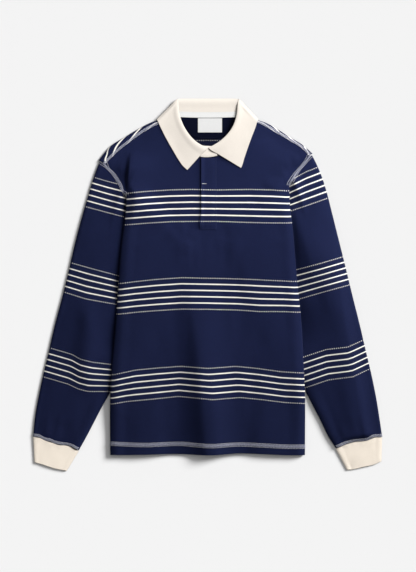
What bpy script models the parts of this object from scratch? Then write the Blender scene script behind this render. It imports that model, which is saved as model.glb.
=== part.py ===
# A long-sleeved rugby shirt lying face up, sides and inner sleeves tucked under the body.
# Lengths are millimetres until the meshes are made: X across, Y towards the collar, Z up.
import bpy
import numpy as np

WALL = 1.2          # jersey
RIB = 1.6           # collar and cuff rib
AIR = 0.4           # between layers that lie on each other
PITCH = WALL + AIR
EASE = 0.6          # more air between the turned-in sides
SEAM = 0.3          # between pieces at a seam
SLOT = 15.2         # half width of the slit in the front
SLOT_END = 119.8
HEM = -351
SHOULDER_R = 2.0    # the back rolls over the shoulder
CENTRE = (1.1, -3.8, 0.0)   # moves the whole onto the middle of its box
STRIP = 8.0         # narrow columns beside an armhole
FLAP = 5            # columns in the turned-in side
EDGE = 3 + FLAP     # columns past the fold


def smooth(t):
    t = np.clip(t, 0.0, 1.0)
    return t * t * (3.0 - 2.0 * t)


def through(rows, at):
    """The values of a table at a key, along a smooth line through its rows."""
    rows = np.asarray(rows, float)
    rows = rows[np.argsort(rows[:, 0])]
    keys, values = rows[:, 0], rows[:, 1:]
    slopes = np.gradient(values, keys, axis=0)
    at = np.clip(np.asarray(at, float), keys[0], keys[-1])
    i = np.clip(np.searchsorted(keys, at) - 1, 0, len(keys) - 2)
    span = (keys[i + 1] - keys[i])[..., None]
    t = (at - keys[i])[..., None] / span
    a, b = values[i], values[i + 1]
    p, q = slopes[i] * span, slopes[i + 1] * span
    out = a + t * (p + t * (3 * (b - a) - 2 * p - q + t * (2 * (a - b) + p + q)))
    return out[..., 0] if out.shape[-1] == 1 else out


def along(points, share):
    """Points at shares of the length of a smooth line through the given ones."""
    points = np.asarray(points, float)
    steps = np.linalg.norm(np.diff(points, axis=0), axis=1)
    keys = np.concatenate([[0.0], np.cumsum(steps)])
    return through(np.column_stack([keys / keys[-1], points]), share)


# One row a level. Columns: Y, half width at the fold, cloth turned under past the fold.
SIDE = {
    -1: [(190.6, 170.4, 3.5), (140.6, 173.9, 64), (96.9, 180.2, 118),
         (40.6, 185.2, 114), (-11.5, 188.9, 109), (-105.2, 195.4, 101),
         (-180.2, 202.7, 94), (-230.2, 204.8, 89), (-298.9, 204.8, 84), (-351, 204.3, 80)],
    1: [(213.5, 168.5, 3.5), (158.1, 171.4, 72), (113.5, 177.3, 118),
        (65.6, 181.4, 115), (13.5, 185.2, 111), (-80.2, 194.8, 102),
        (-155.2, 198.5, 96), (-230.2, 201.8, 89), (-298.9, 201.8, 84), (-351, 201.4, 80)],
}
TOP = {-1: 190.6, 1: 213.5}     # where the side fold begins
# The line under the body where the sleeve's inner edge and the armhole lie: Y, half width.
SLEEVE_UNDER = {
    -1: [(284.3, 273), (190.6, 170.4), (96.9, 67.3), (-69.8, 131.9), (-220.8, 204.3),
         (-340.6, 268.3), (-382.2, 290.2)],
    1: [(305.2, 265), (213.5, 168.5), (105.2, 67.3), (-61.4, 130.6), (-219.8, 199.3),
        (-336.4, 257.7), (-382.2, 282.7)],
}
FLAP_UNDER = {
    -1: [(284.3, 273), (190.6, 170.4), (96.9, 67.3), (-351, 138.1), (-382.2, 142.3)],
    1: [(305.2, 265), (213.5, 168.5), (105.2, 67.3), (-351, 138.1), (-382.2, 143.1)],
}
# Armhole seam on top, from the fold up to the shoulder: X, Y.
ARMHOLE = {
    -1: [(-170.4, 190.6), (-173.9, 193.7), (-183.9, 213.7), (-196.6, 233.9), (-211.6, 250.4),
         (-225.8, 260.8)],
    1: [(168.5, 213.5), (173.9, 225), (186.6, 241.4), (201.6, 259.1), (215.2, 274.1)],
}
# Forward shoulder seam and the rolled shoulder line outside it, tip to neck: X, Y.
SHOULDER_SEAM = {
    -1: [(-214.3, 259.1), (-191.4, 281.8), (-166.2, 302), (-136, 323.5), (-113.1, 336.4),
         (-98.5, 342), (-86, 345.6)],
    1: [(210.6, 275.6), (196.6, 289.3), (166.4, 308.3), (133.5, 327.2), (109.8, 340.6),
        (97.3, 344.7), (84.8, 347.7)],
}
SHOULDER_LINE = {
    -1: [(-228.1, 262.9), (-204.1, 292), (-172.7, 312), (-141, 331), (-118.3, 342.2),
         (-102.7, 346.4), (-87.1, 351)],
    1: [(216.8, 276.8), (197.9, 293.9), (168.9, 311.6), (139.8, 330.4), (115, 343.1),
        (100, 347.4), (85.8, 352.2)],
}
FRONT_NECK = {
    -1: [(-86, 345.6), (-79.8, 330.2), (-65.2, 311.4), (-42.3, 288.5), (-15.2, 271.4)],
    1: [(84.8, 347.7), (79.6, 331.2), (63.9, 311.4), (41, 288.5), (15.2, 271.4)],
}
BACK_NECK = {
    -1: [(-85, 353.1), (-65.2, 355.2), (-42.3, 355.6), (-15.2, 355.2)],
    1: [(83.7, 354.3), (63.9, 355.2), (41, 355.6), (15.2, 355.2)],
}
# Columns across half a body, as shares of the way from the slit to the fold.
ACROSS = {-1: [1, 0.836, 0.67, 0.506, 0.363, 0.2525, 0.165, 0.082, 0], 1: [0, 0.11, 0.235, 0.37, 0.52, 0.67, 0.84, 1]}
# Levels of the lower body, hem to armhole, as shares of the height.
LEVELS = [0, 0.03, 0.08, 0.14, 0.21, 0.28, 0.35, 0.42, 0.49, 0.56, 0.63, 0.69, 0.745, 0.8, 0.8513, 0.895, 0.93,
          0.955, 0.972, 0.984, 0.993, 1]
RISES = [0.14, 0.3, 0.48, 0.66, 0.83, 1]


def half(rows, y, column=1):
    rows = np.asarray(rows, float)
    return through(rows[:, [0, column]], y)


def under(rows, x, y, side):
    """0 to 1: how fully a tucked layer holds up what lies over it."""
    rows = np.asarray(rows, float)[::-1]
    edge = np.interp(y, rows[:, 0], rows[:, 1])
    above = 1.0 - smooth((y - TOP[side] + 6.0) / 44.0)
    return above * smooth(((side * x - edge) * 0.8 + 42.0) / 30.0)


def layers(x, y):
    """Shares of the tucked sleeves, the turned-in sides and the back of the collar under a point."""
    sleeve = sum(under(SLEEVE_UNDER[s], x, y, s) for s in (-1, 1))
    flap = sum(under(FLAP_UNDER[s], x, y, s) for s in (-1, 1))
    collar = smooth((y - 286.4) / 48.0) * smooth((140.0 - np.abs(x)) / 30.0)
    return sleeve, flap, collar


def z_back(x, y):
    sleeve, flap, collar = layers(x, y)
    return WALL / 2 + 2 * PITCH * sleeve + (2 * PITCH + EASE + 1.2) * flap + 2.3 * collar


def z_return(x, y, layer):
    sleeve = layers(x, y)[0]
    return WALL / 2 + 2 * PITCH * sleeve + (PITCH + EASE if layer == "back" else 0.0)


# Loft of the front over the back down its length: Y, full loft.
LOFT = [(HEM, 4.0), (-320, 5.5), (-250, 7.5), (0, 8.5), (120, 8.5), (230, 8.0), (300, 6.5)]
# Soft rolls down the front: X at the hem, X at the top, Y where it fades in and out, height, widths left and right.
ROLLS = [(-7, -26, -60, 60, 5.0, 36, 72), (-126, -96, -250, 80, 1.6, 30, 40), (140, 118, -180, 90, 1.4, 40, 40)]


def edge_distance(x, y):
    """How far inside the nearer side, armhole or shoulder seam a point of the front lies."""
    found = np.full(np.shape(x), 1e3)
    for s in (-1, 1):
        out = half(SIDE[s], y)
        arm = np.asarray(ARMHOLE[s])
        up = np.interp(y, arm[:, 1], s * arm[:, 0])
        side = np.where(y > TOP[s], up, out) - s * x
        a, b = np.asarray(SHOULDER_SEAM[s][0]), np.asarray(SHOULDER_SEAM[s][-1])
        d = (b - a) / np.linalg.norm(b - a)
        slope = np.abs((x - a[0]) * d[1] - (y - a[1]) * d[0])
        slope = np.where((x - a[0]) * s * -1 < 0, 1e3, slope)
        found = np.minimum(found, np.minimum(side, np.where(y > TOP[s] - 60, slope, 1e3)))
    return np.maximum(found, 0.0)


def loft(x, y):
    d = edge_distance(x, y)
    top = smooth((y - 130.0) / 60.0)
    full = through(LOFT, y)
    out = 2.4 * top + (full - 2.4 * top) * smooth(d / 85.0)
    for low, high, fade, length, tall, left, right in ROLLS:
        middle = low + (high - low) * (y - HEM) / 560.0
        width = np.where(x < middle, left, right)
        here = tall * np.exp(-((x - middle) / width) ** 2) * smooth((fade + length - y) / length)
        out = out + here * smooth(d / 40.0)
    return out


def z_front(x, y):
    return z_back(x, y) + PITCH + loft(x, y)


def fold_shape(side, y, layer):
    """Radius of a panel's side fold and its centre's distance from the slit's middle."""
    xf = half(SIDE[side], y)
    inset = WALL / 2 if layer == "front" else 2.5 * WALL + 1.5 * float(smooth((y - TOP[side] + 60.0) / 36.0))
    z = z_front if layer == "front" else z_back
    main = z(side * (xf - inset - 3.0), y)
    radius = float(main - z_return(side * (xf - 5.0), y, layer)) / 2
    return radius, xf - inset - radius


def side_strip(side, y, layer):
    """The columns past the fold at one level: distance from the middle, and height."""
    z = z_front if layer == "front" else z_back
    outer, xo = fold_shape(side, y, "front")
    radius, xc = fold_shape(side, y, layer)
    end = half(SIDE[side], y, 2)
    start = min(0.0, end - STRIP)
    turn = np.pi * outer
    s = [start + min(k * turn / 3, (end - start) * k / EDGE) for k in (1, 2, 3)]
    s += [s[2] + (end - s[2]) * k / FLAP for k in range(1, FLAP + 1)]
    if layer == "back":
        s = [d * radius / outer * (0.7 if end < turn else 1) if d <= turn else np.pi * radius + d - turn + xc - xo
             for d in s]
        s[-1] -= min(3.0, (s[-1] - s[-2]) / 3)
    out = []
    for d in s:
        if d <= 0:
            out.append((xc + d, z(side * (xc + d), y)))
        elif d < np.pi * radius:
            out.append((xc + radius * np.sin(d / radius), z(side * xc, y) - radius * (1 - np.cos(d / radius))))
        else:
            x = xc - (d - np.pi * radius)
            out.append((x, z_return(side * x, y, layer)))
    return xc + start, out


def body_row(v, layer):
    """One level of a body panel, from the left end of the cloth to the right."""
    z = z_front if layer == "front" else z_back
    ends = {s: HEM + v * (TOP[s] - HEM) for s in (-1, 1)}
    row = []
    for s in (-1, 1):
        fold, strip = side_strip(s, ends[s], layer)
        main = [SLOT + c * (fold - SLOT) for c in ACROSS[s]]
        xs = [x for x, _ in strip][::-1] + main if s < 0 else [0.0] + main + [x for x, _ in strip]
        zs = [h for _, h in strip]
        for k, x in enumerate(xs):
            x = s * x
            share = np.clip((x + 185.0) / 370.0, 0, 1)
            y = ends[-1] + share * (ends[1] - ends[-1])
            n = k if s < 0 else k - 1 - len(main)
            in_strip = n < EDGE if s < 0 else n >= 0
            h = (zs[EDGE - 1 - n] if s < 0 else zs[n]) if in_strip else float(z(x, y))
            row.append((x, y, h))
    return np.array(row)


def coons(low, high, left, right, shares):
    """Rows between two lines of points, each end of a row on its own line."""
    rows = []
    span = low[:, 0] - low[0, 0]
    f = (span / span[-1])[:, None]
    for w in shares:
        a, b = along(left, w), along(right, w)
        row = (1 - w) * low + w * high
        row = row + (1 - f) * (a - row[0]) + f * (b - row[-1])
        rows.append(row)
    return rows


def upper_rows(low, layer):
    """The levels from the armholes' foot to the shoulders and the neck."""
    line = SHOULDER_SEAM if layer == "front" else SHOULDER_LINE
    neck = FRONT_NECK if layer == "front" else BACK_NECK
    z = z_front if layer == "front" else z_back
    high, ends = {}, {}
    for s in (-1, 1):
        seam = along(line[s], np.linspace(0, 1, EDGE + 4))
        if layer == "back":
            seam = seam + inward(s, SHOULDER_R + WALL / 2)
        cells = 5 if s < 0 else 4
        high[s] = np.vstack([seam, along(neck[s], np.linspace(0, 1, cells + 1))[1:]])
        ends[s] = [low[0, :2] if s < 0 else low[-1, :2]] + [p for p in ARMHOLE[s][1:-1]] + [seam[0]]
    middle = [(0.0, high[-1][-1, 1])]
    top = np.vstack([high[-1], middle, high[1][::-1]])
    rows = coons(low[:, :2], top, ends[-1], ends[1], RISES)
    for row in rows:
        row[EDGE + 8:EDGE + 11, 0] = -SLOT, 0.0, SLOT
    return [np.column_stack([r, z(r[:, 0], r[:, 1])]) for r in rows]


def inward(side, depth):
    """Steps from the rolled shoulder line towards the front's shoulder seam."""
    out = along(SHOULDER_LINE[side], np.linspace(0, 1, EDGE + 4))
    into = along(SHOULDER_SEAM[side], np.linspace(0, 1, EDGE + 4)) - out
    length = np.linalg.norm(into, axis=1)[:, None]
    if depth == "seam":
        return into * (1 - (SEAM + 0.6) / length)
    return into / length * np.minimum(depth, length * 0.6)


def body_grid(layer):
    rows = [body_row(v, layer) for v in LEVELS]
    rows += upper_rows(rows[-1], layer)
    return np.array(rows)


def front_panel():
    grid = body_grid("front")
    keep = np.ones((grid.shape[0] - 1, grid.shape[1] - 1), bool)
    middle = EDGE + len(ACROSS[-1])
    keep[LEVELS.index(0.8513):, middle - 1:middle + 1] = False
    return grid, keep


def back_panel():
    grid = body_grid("back")
    count = grid.shape[1]
    top = grid[-1]
    extra = []
    for angle in (60, 120, 180, None):
        row = top.copy()
        for s in (-1, 1):
            pick = slice(0, EDGE + 4) if s < 0 else slice(count - 1, count - EDGE - 5, -1)
            line = along(SHOULDER_LINE[s], np.linspace(0, 1, EDGE + 4))
            base = top[pick, 2]
            if angle is None:
                row[pick, :2] = line + inward(s, "seam")
                row[pick, 2] = base + 2 * SHOULDER_R
            else:
                a = np.radians(angle)
                depth = SHOULDER_R * (1 - np.sin(a)) + WALL / 2
                row[pick, :2] = line + inward(s, depth)
                row[pick, 2] = base + SHOULDER_R * (1 - np.cos(a))
        extra.append(row)
    grid = np.concatenate([grid, np.array(extra)])
    keep = np.ones((grid.shape[0] - 1, count - 1), bool)
    keep[-4:, EDGE + 3:count - EDGE - 4] = False
    return grid, keep


# Sleeve edges in the plan, armpit or shoulder tip to the cuff seam: X, Y.
SLEEVE_OUT = {
    -1: [(-228.1, 262.9), (-236, 238.5), (-250.6, 188.5), (-265.2, 138.5), (-277.7, 88.5), (-288.1, 38.5), (-300.6, -11.5),
         (-315.2, -61.4), (-325.6, -111.4), (-338.1, -161.4), (-348.5, -211.4), (-358.3, -261.4), (-363.1, -310.4)],
    1: [(217.3, 276), (226.4, 251), (243.1, 201), (255.6, 151), (268.1, 101), (280.6, 51), (295.2, -11.5),
        (307.7, -61.4), (320.2, -111.4), (332.7, -161.4), (343.1, -211.4), (351.4, -261.4), (359.1, -311.4)],
}
SLEEVE_IN = {
    -1: [(-67.3, 96.9), (-96.4, 11.5), (-131.9, -69.8), (-169.3, -148.9), (-204.3, -220.8), (-229.8, -261.4), (-248.5, -298.9),
         (-267.7, -338.5)],
    1: [(67.3, 105.2), (95.2, 21.9), (130.6, -61.4), (164.9, -144.8), (202.5, -222), (229.5, -273.9), (249.5, -311.4),
        (264.3, -335.6)],
}
# The cuff seam and the free end of the cuff, inner to outer: X, Y.
CUFF_SEAM = {
    -1: [(-267.7, -339.9), (-285, -334.5), (-299.3, -330.2), (-315.6, -330.2), (-328.7, -323.7), (-342.9, -320.4),
         (-351.6, -314.9), (-363.1, -312.7)],
    1: [(265.2, -337.4), (285.4, -329.3), (309.7, -323.1), (332.2, -321), (341, -315.6), (359.7, -313.5)],
}
CUFF_END = {
    -1: [(-291.6, -383.7), (-321, -378.3), (-348.3, -369.5), (-362.4, -365.6)],
    1: [(288.5, -382), (299.1, -381), (322.2, -375.6), (349.1, -369.3), (360.8, -363.9)],
}
# The sleeve's columns, as shares of the armhole below the body's fold and of the rest above it.
HIDDEN = [0, 0.33, 0.66, 0.91]
DOWN = [0, 0.03, 0.075, 0.14, 0.22, 0.31, 0.4, 0.5, 0.6, 0.7, 0.79, 0.87, 0.94, 1]
# Height of the sleeve's upper layer over its lower one, down its length: share, middle, outer edge.
SLEEVE_LOFT = [(0, 2.4, 2.2), (0.25, 3.4, 1.8), (0.5, 3.8, 1.8), (0.8, 3.9, 2.0), (1, 3.7, 2.0)]


def armhole_line(side):
    """The sleeve's end of the armhole seam: armpit, fold, shoulder tip."""
    pit = SLEEVE_IN[side][0]
    top = ARMHOLE[side]
    knee = (side * (abs(top[0][0]) + 3.5), top[0][1] - 1.5)
    low = [np.asarray(pit) * (1 - t) + np.asarray(knee) * t for t in (0, 0.33, 0.66)]
    ahead = np.gradient(np.asarray(top, float), axis=0)
    out = side * np.column_stack([ahead[:, 1], -ahead[:, 0]])
    out = out / np.linalg.norm(out, axis=1)[:, None]
    rest = [np.asarray(p) + 1.2 * n for p, n in zip(top, out)][1:]
    return np.array(low + [knee] + rest[1:])


def fold_share(side):
    """The share of the armhole's length that lies under the body."""
    steps = np.linalg.norm(np.diff(armhole_line(side), axis=0), axis=1)
    return steps[:3].sum() / steps.sum()


def columns_round(side):
    knee = fold_share(side)
    return [c * knee for c in HIDDEN] + [knee + (1 - knee) * c for c in [0] + RISES]


def sleeve_plan(side, share, column):
    """A point of the sleeve in the plan: share down its length, column share across."""
    end = along(armhole_line(side), column)
    cuff = along(CUFF_SEAM[side], column) + (0.0, SEAM + 0.6)
    inner, outer = along(SLEEVE_IN[side], share), along(SLEEVE_OUT[side], share)
    flat = (1 - share) * end + share * cuff + (1 - column) * inner + column * outer
    corners = (1 - share) * ((1 - column) * along(SLEEVE_IN[side], 0.0) + column * along(SLEEVE_OUT[side], 0.0))
    corners = corners + share * ((1 - column) * along(SLEEVE_IN[side], 1.0) + column * along(SLEEVE_OUT[side], 1.0))
    return flat - corners


def clear_of_body(side, x, y):
    """0 under the body, 1 well outside its side."""
    out = half(SIDE[side], y)
    return smooth((side * x - out - 20.0) / 40.0)


def sleeve_heights(side, share, column, x, y):
    """Middle heights of the sleeve's lower and upper layer at a point."""
    middle, edge = through(SLEEVE_LOFT, share)
    dome = np.sin(np.pi * np.clip(column, 0, 1) ** 0.8)
    free = clear_of_body(side, x, y) if y < TOP[side] + 30 else 1.0
    if y >= TOP[side] + 30:
        free = smooth((side * x - half(SIDE[side], TOP[side]) + 4) / 20.0)
    low = WALL / 2
    rise = (edge * smooth((column - 0.5) / 0.5) + (middle - 0.5) * dome) * free
    return low, low + PITCH + rise


def seam_lift(side, column):
    """What the armhole adds to both layers of the sleeve at its end, over the sleeve's own heights."""
    x, y = along(armhole_line(side), column)
    on_top = smooth((column - fold_share(side)) / 0.045)
    return on_top * (z_back(x, y) - WALL / 2), on_top * (z_front(x, y))


def sleeve_grid(side):
    rows = []
    columns = columns_round(side)
    for share in DOWN:
        fade = 1 - smooth(share / 0.16)
        row = []
        plan = [sleeve_plan(side, share, c) for c in columns]
        heights = []
        for c, (x, y) in zip(columns, plan):
            low, high = sleeve_heights(side, share, c, x, y)
            add, top = seam_lift(side, c)
            end = sleeve_heights(side, 0.0, c, *plan_end(side, c))[1]
            high = high + fade * max(top - end, 0.0)
            low = low + fade * add
            heights.append((low, max(high, low + PITCH)))
        cross = np.array(plan[-1]) - np.array(plan[0])
        cross = cross / np.linalg.norm(cross)
        inner_r = (heights[0][1] - heights[0][0]) / 2
        outer_r = (heights[-1][1] - heights[-1][0]) / 2
        inset_in, inset_out = inner_r + WALL / 2, outer_r + WALL / 2
        total = np.linalg.norm(np.array(plan[-1]) - np.array(plan[0]))
        spots = []
        for c, p in zip(columns, plan):
            shift = (1 - c) ** 6 * inset_in - c ** 6 * inset_out
            spots.append(np.array(p) + cross * shift)
        mid_in = (heights[0][0] + heights[0][1]) / 2
        mid_out = (heights[-1][0] + heights[-1][1]) / 2
        curl = np.radians(72)

        def inner(sign):
            p = spots[0] - cross * inner_r * np.sin(curl)
            return (*p, mid_in + sign * inner_r * np.cos(curl))

        row.append(inner(1))
        row += [(*p, h[1]) for p, h in zip(spots, heights)]
        for a in (60, 120):
            a = np.radians(a)
            p = spots[-1] + cross * outer_r * np.sin(a)
            row.append((*p, mid_out + outer_r * np.cos(a)))
        row += [(*p, h[0]) for p, h in zip(spots[::-1], heights[::-1])]
        row.append(inner(-1))
        rows.append(row)
    return np.array(rows)


def plan_end(side, column):
    return along(armhole_line(side), column)


CUFF_LOFT = [(0, 5.4), (0.12, 4.7), (0.5, 4.3), (1, 3.8)]


def cuff_grid(side):
    """The rib band closed into a flattened tube, its two ends meeting at the inner edge."""
    rows = []
    for share, tall in [(t, float(through(CUFF_LOFT, t))) for t in (0, 0.1, 0.3, 0.55, 0.8, 1)]:
        a = along(CUFF_SEAM[side], np.linspace(0, 1, 8)) - (0.0, SEAM + 0.6)
        b = along(CUFF_END[side], np.linspace(0, 1, 8))
        plan = a * (1 - share) + b * share
        cross = (plan[-1] - plan[0]) / np.linalg.norm(plan[-1] - plan[0])
        low = RIB / 2
        r = 1.3 + 0.25 * (1 - share)
        plan = plan + cross * (np.linspace(1, 0, 8)[:, None] ** 4 - np.linspace(0, 1, 8)[:, None] ** 4) * (r + RIB / 2)
        dome = np.sin(np.linspace(0, np.pi, 8)) ** 0.7 * (tall - 2 * r)
        high = low + 2 * r + np.maximum(dome, 0)
        row = [(*(plan[0] - cross * r * 0.93), low + r * 1.34)]
        row += [(*p, h) for p, h in zip(plan, high)]
        row += [(*(plan[-1] + cross * r * 0.866), low + r * 1.5), (*(plan[-1] + cross * r * 0.866), low + r * 0.5)]
        row += [(*p, low) for p in plan[::-1]]
        row.append((*(plan[0] - cross * r * 0.93), low + r * 0.66))
        rows.append(row)
    return np.array(rows)


# The collar, centre back to centre front. Columns: seam X Y Z, roll X Y Z, edge X Y Z, turn.
# Turn is -1 where the fall lies under the stand, 0 at the side fold, 1 where it lies over it.
COLLAR = {
    -1: [
        (0, 356.8, 3.1, 0, 390.8, 3.1, 0, 343.7, 0.8, -1),
        (-29.8, 357, 3.1, -29.8, 390.8, 3.1, -31.9, 343.7, 0.8, -1),
        (-50.6, 358.1, 3.1, -46.5, 390.8, 3.2, -63.1, 343.9, 0.8, -1),
        (-65.2, 360.2, 3.3, -56.9, 390.6, 3.7, -86, 345.6, 0.8, -0.9),
        (-73.5, 361.6, 4.2, -61.4, 390.1, 4.8, -100.2, 347.7, 1.1, -0.6),
        (-79.2, 360.2, 5.6, -64.2, 388.7, 6.8, -106.2, 348.5, 5.2, 0),
        (-81.4, 356.4, 7.2, -63.3, 384.3, 9.5, -104.2, 343.1, 9.0, 0.6),
        (-81.9, 349.9, 8.2, -62.3, 376, 12.5, -100.6, 334.7, 9.4, 0.9),
        (-77.7, 337.4, 8.6, -60.6, 359.3, 16, -95, 323.3, 9.4, 1),
        (-68.3, 319.7, 9.2, -53.9, 339.3, 18.5, -87.1, 307.7, 9.6, 1),
        (-55.2, 303.1, 9.8, -44.4, 322.2, 20, -76.7, 289.5, 10.2, 1),
        (-39.8, 288.9, 10.4, -32.3, 307.2, 20.5, -65.2, 269.7, 10.8, 1),
        (-23.5, 277.7, 11, -18.3, 296.4, 20.5, -54.2, 253.1, 11.2, 1),
        (-11, 272.7, 11.6, -2.7, 288.9, 18.5, -43.7, 243.1, 11.6, 1),
    ],
    1: [
        (0, 356.8, 3.1, 0, 390.8, 3.1, 0, 343.7, 0.8, -1),
        (28.5, 357, 3.1, 28.5, 390.8, 3.1, 30.6, 343.7, 0.8, -1),
        (49.4, 358.1, 3.1, 45.2, 390.8, 3.2, 61.9, 343.9, 0.8, -1),
        (65, 360.6, 3.3, 55.6, 390.6, 3.7, 83.7, 346, 0.8, -0.9),
        (73.3, 362.2, 4.2, 60.4, 390.1, 4.8, 97.3, 348.1, 1.1, -0.6),
        (78.9, 361, 5.6, 63.3, 388.7, 6.8, 103.3, 348.9, 5.2, 0),
        (81.4, 357.2, 7.2, 62.3, 384.3, 9.5, 101.4, 343.5, 9.0, 0.6),
        (81.9, 351, 8.2, 61.2, 376, 12.5, 99.2, 335.6, 9.4, 0.9),
        (78.1, 338.1, 8.6, 59.8, 361.4, 16, 95, 323.9, 9.4, 1),
        (68.5, 320.6, 9.2, 54.8, 340.6, 18.5, 88.1, 306.4, 9.6, 1),
        (54.8, 303.9, 9.8, 45.2, 323.5, 20, 81.9, 288.5, 10.2, 1),
        (38.5, 289.7, 10.4, 31, 307.7, 20.5, 75.6, 270.6, 10.8, 1),
        (22.3, 278.9, 11, 14.4, 296, 20.5, 71.4, 256, 11.2, 1),
        (8.7, 272.7, 11.6, 0.6, 288.9, 18.5, 68.1, 247.3, 11.6, 1),
    ],
}


def station(side, share):
    rows = np.asarray(COLLAR[side], float)
    keys = np.linspace(0, 1, len(rows))
    got = through(np.column_stack([keys, rows]), share)
    return got[:3], got[3:6], got[6:9], float(np.clip(got[9], -1, 1))


def collar_path(side, share):
    """Points of one section: up the stand to the roll, and down the fall to its edge."""
    seam, roll, edge, turn = station(side, share)
    over = smooth((turn + 1) / 2)
    if turn > 0:
        floor = float(z_front(seam[0], seam[1])) + 0.6
        seam[2] = max(seam[2], floor * over)
    down, away = seam - roll, edge - roll
    flat = away * (1, 1, 0) / np.linalg.norm(away[:2])
    back = down * (1, 1, 0) / np.linalg.norm(down[:2])
    lift = np.array([-flat[0] * 0, 0, turn]) + (1 - abs(turn)) * np.array([side * 0.72, 0.69, 0])
    radius = 2.2
    inner = (flat + back) / np.linalg.norm(flat + back)
    bend = [roll + inner * radius * (1 - np.cos(a)) + lift * radius * np.sin(a)
            for a in np.radians((-90, -45, -18, 18, 45, 90))]
    stand = [seam, seam * 0.6 + roll * 0.4 - lift * 0.6 * radius] + bend[:3]
    fall = bend[3:]
    start = fall[-1]
    for t in (0.3, 0.55, 0.8, 1.0):
        p = start + (edge - start) * t
        p[2] = edge[2] + (start[2] - edge[2]) * (1 - t) ** 1.5
        if turn > 0.3:
            p[2] = max(p[2], float(z_front(p[0], p[1])) + WALL / 2 + AIR + RIB / 2)
        fall.append(p)
    return stand, fall


def collar_grids():
    shares = [0, 0.08, 0.155, 0.23, 0.27, 0.31, 0.35, 0.385, 0.42, 0.46, 0.5, 0.54, 0.6, 0.66, 0.73, 0.8, 0.87, 0.94, 1]
    stand, fall = [], []
    for side, run in ((-1, shares[::-1]), (1, shares[1:])):
        for share in run:
            a, b = collar_path(side, share)
            stand.append(a)
            fall.append(b)
    return np.array(stand), np.array(fall)


def laid(plan_rows, height):
    """A grid over the plan, at a height given by a function."""
    rows = np.asarray(plan_rows, float)
    return np.dstack([rows, height(rows[..., 0], rows[..., 1])])


def between(low, high, count):
    return [np.asarray(low) * (1 - t) + np.asarray(high) * t for t in np.linspace(0, 1, count)]


def placket_grids():
    x0, x1 = -SLOT + SEAM, SLOT - SEAM
    ys = np.linspace(SLOT_END + SEAM + 1.3, 268.5, 12)
    under_band = [[(x, y) for x in np.linspace(x0, x1, 4)] for y in ys]
    ys = np.linspace(SLOT_END - 1.5, 268.5, 12)
    over_band = [[(x, y) for x in np.linspace(-15.4, 16.5, 4)] for y in ys]
    return laid(under_band, z_front), laid(over_band, lambda x, y: z_front(x, y) + PITCH + 0.05)


# The facing inside the back neck: X, upper Y, lower Y.
HALF_MOON = [(-75.6, 347.9, 342.7), (-56.9, 348.9, 328.1), (-31.9, 348.9, 312.5),
             (0, 348.9, 306.8), (31.7, 348.9, 312.5), (56.7, 348.9, 328.1),
             (75.4, 347.9, 342.7)]


def half_moon_grid():
    xs = np.linspace(HALF_MOON[0][0], HALF_MOON[-1][0], 15)
    ends = through(HALF_MOON, xs)
    rows = between(np.column_stack([xs, ends[:, 1]]), np.column_stack([xs, ends[:, 0]]), 5)
    return laid(rows, lambda x, y: z_back(x, y) + WALL / 2 + 0.6 + 0.4)


def tape_grid():
    xs = np.linspace(-71.4, 71.4, 15)
    bow = 2.0 * ((xs / 70) ** 2)
    rows = between(np.column_stack([xs, 349.7 + bow]), np.column_stack([xs, 362.9 + bow]), 4)
    return laid(rows, lambda x, y: np.maximum(z_back(x, y) + 2.65, 5.5) + 0.0 * x)


def label_grid():
    xs = np.linspace(-21.5, 28.5, 5)
    rows = between(np.column_stack([xs, 0 * xs + 321]), np.column_stack([xs, 0 * xs + 348.5]), 5)
    return laid(rows, lambda x, y: z_back(x, y) + WALL / 2 + 0.6 + 0.8 + 0.3 + 0.25)


def unit(v):
    length = np.linalg.norm(v, axis=-1, keepdims=True)
    return v / np.where(length > 1e-9, length, 1.0)


def steps(grid, axis):
    """The direction along one axis at every point, halving the angle at a bend, and the spread needed there."""
    d = unit(np.diff(grid, axis=axis))
    first, last = np.take(d, [0], axis), np.take(d, [-1], axis)
    before, after = np.concatenate([first, d], axis), np.concatenate([d, last], axis)
    mean = unit(before + after)
    cosine = np.sum(mean * after, axis=-1, keepdims=True)
    return mean, np.clip(cosine, 0.6, 1.0)


def sheet(name, grid, keep, wall, colour):
    """A closed solid of even wall on both sides of a grid of points."""
    ahead, bend_a = steps(grid, 0)
    across, bend_b = steps(grid, 1)
    normal = unit(np.cross(across, ahead)) * (wall / 2) / (bend_a * bend_b)
    if keep is None:
        keep = np.ones((grid.shape[0] - 1, grid.shape[1] - 1), bool)
    rows, cols = grid.shape[:2]
    index = np.arange(rows * cols).reshape(rows, cols)
    points = np.concatenate([(grid + normal).reshape(-1, 3), (grid - normal).reshape(-1, 3)])
    other = rows * cols
    faces, edges = [], {}
    for i, j in zip(*np.nonzero(keep)):
        a, b, c, d = index[i, j], index[i, j + 1], index[i + 1, j + 1], index[i + 1, j]
        faces.append((a, b, c, d))
        faces.append((d + other, c + other, b + other, a + other))
        for e in ((a, b), (b, c), (c, d), (d, a)):
            edges[e] = True
    for a, b in edges:
        if (b, a) not in edges:
            faces.append((b, a, a + other, b + other))
    points = points + CENTRE
    points[:, 2] = np.maximum(points[:, 2], 0.0)
    used = np.unique(np.array(faces))
    place = np.full(len(points), -1)
    place[used] = np.arange(len(used))
    mesh = bpy.data.meshes.new(name)
    mesh.from_pydata((points[used] * 0.001).tolist(), [], place[np.array(faces)].tolist())
    mesh.update()
    item = bpy.data.objects.new(name, mesh)
    bpy.context.scene.collection.objects.link(item)
    mesh.materials.append(cloth(name, colour))
    return item


def cloth(name, colour):
    made = bpy.data.materials.new(name)
    made.use_nodes = True
    shader = made.node_tree.nodes["Principled BSDF"]
    shader.inputs["Base Color"].default_value = (*colour, 1.0)
    shader.inputs["Roughness"].default_value = 0.9
    return made


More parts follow.
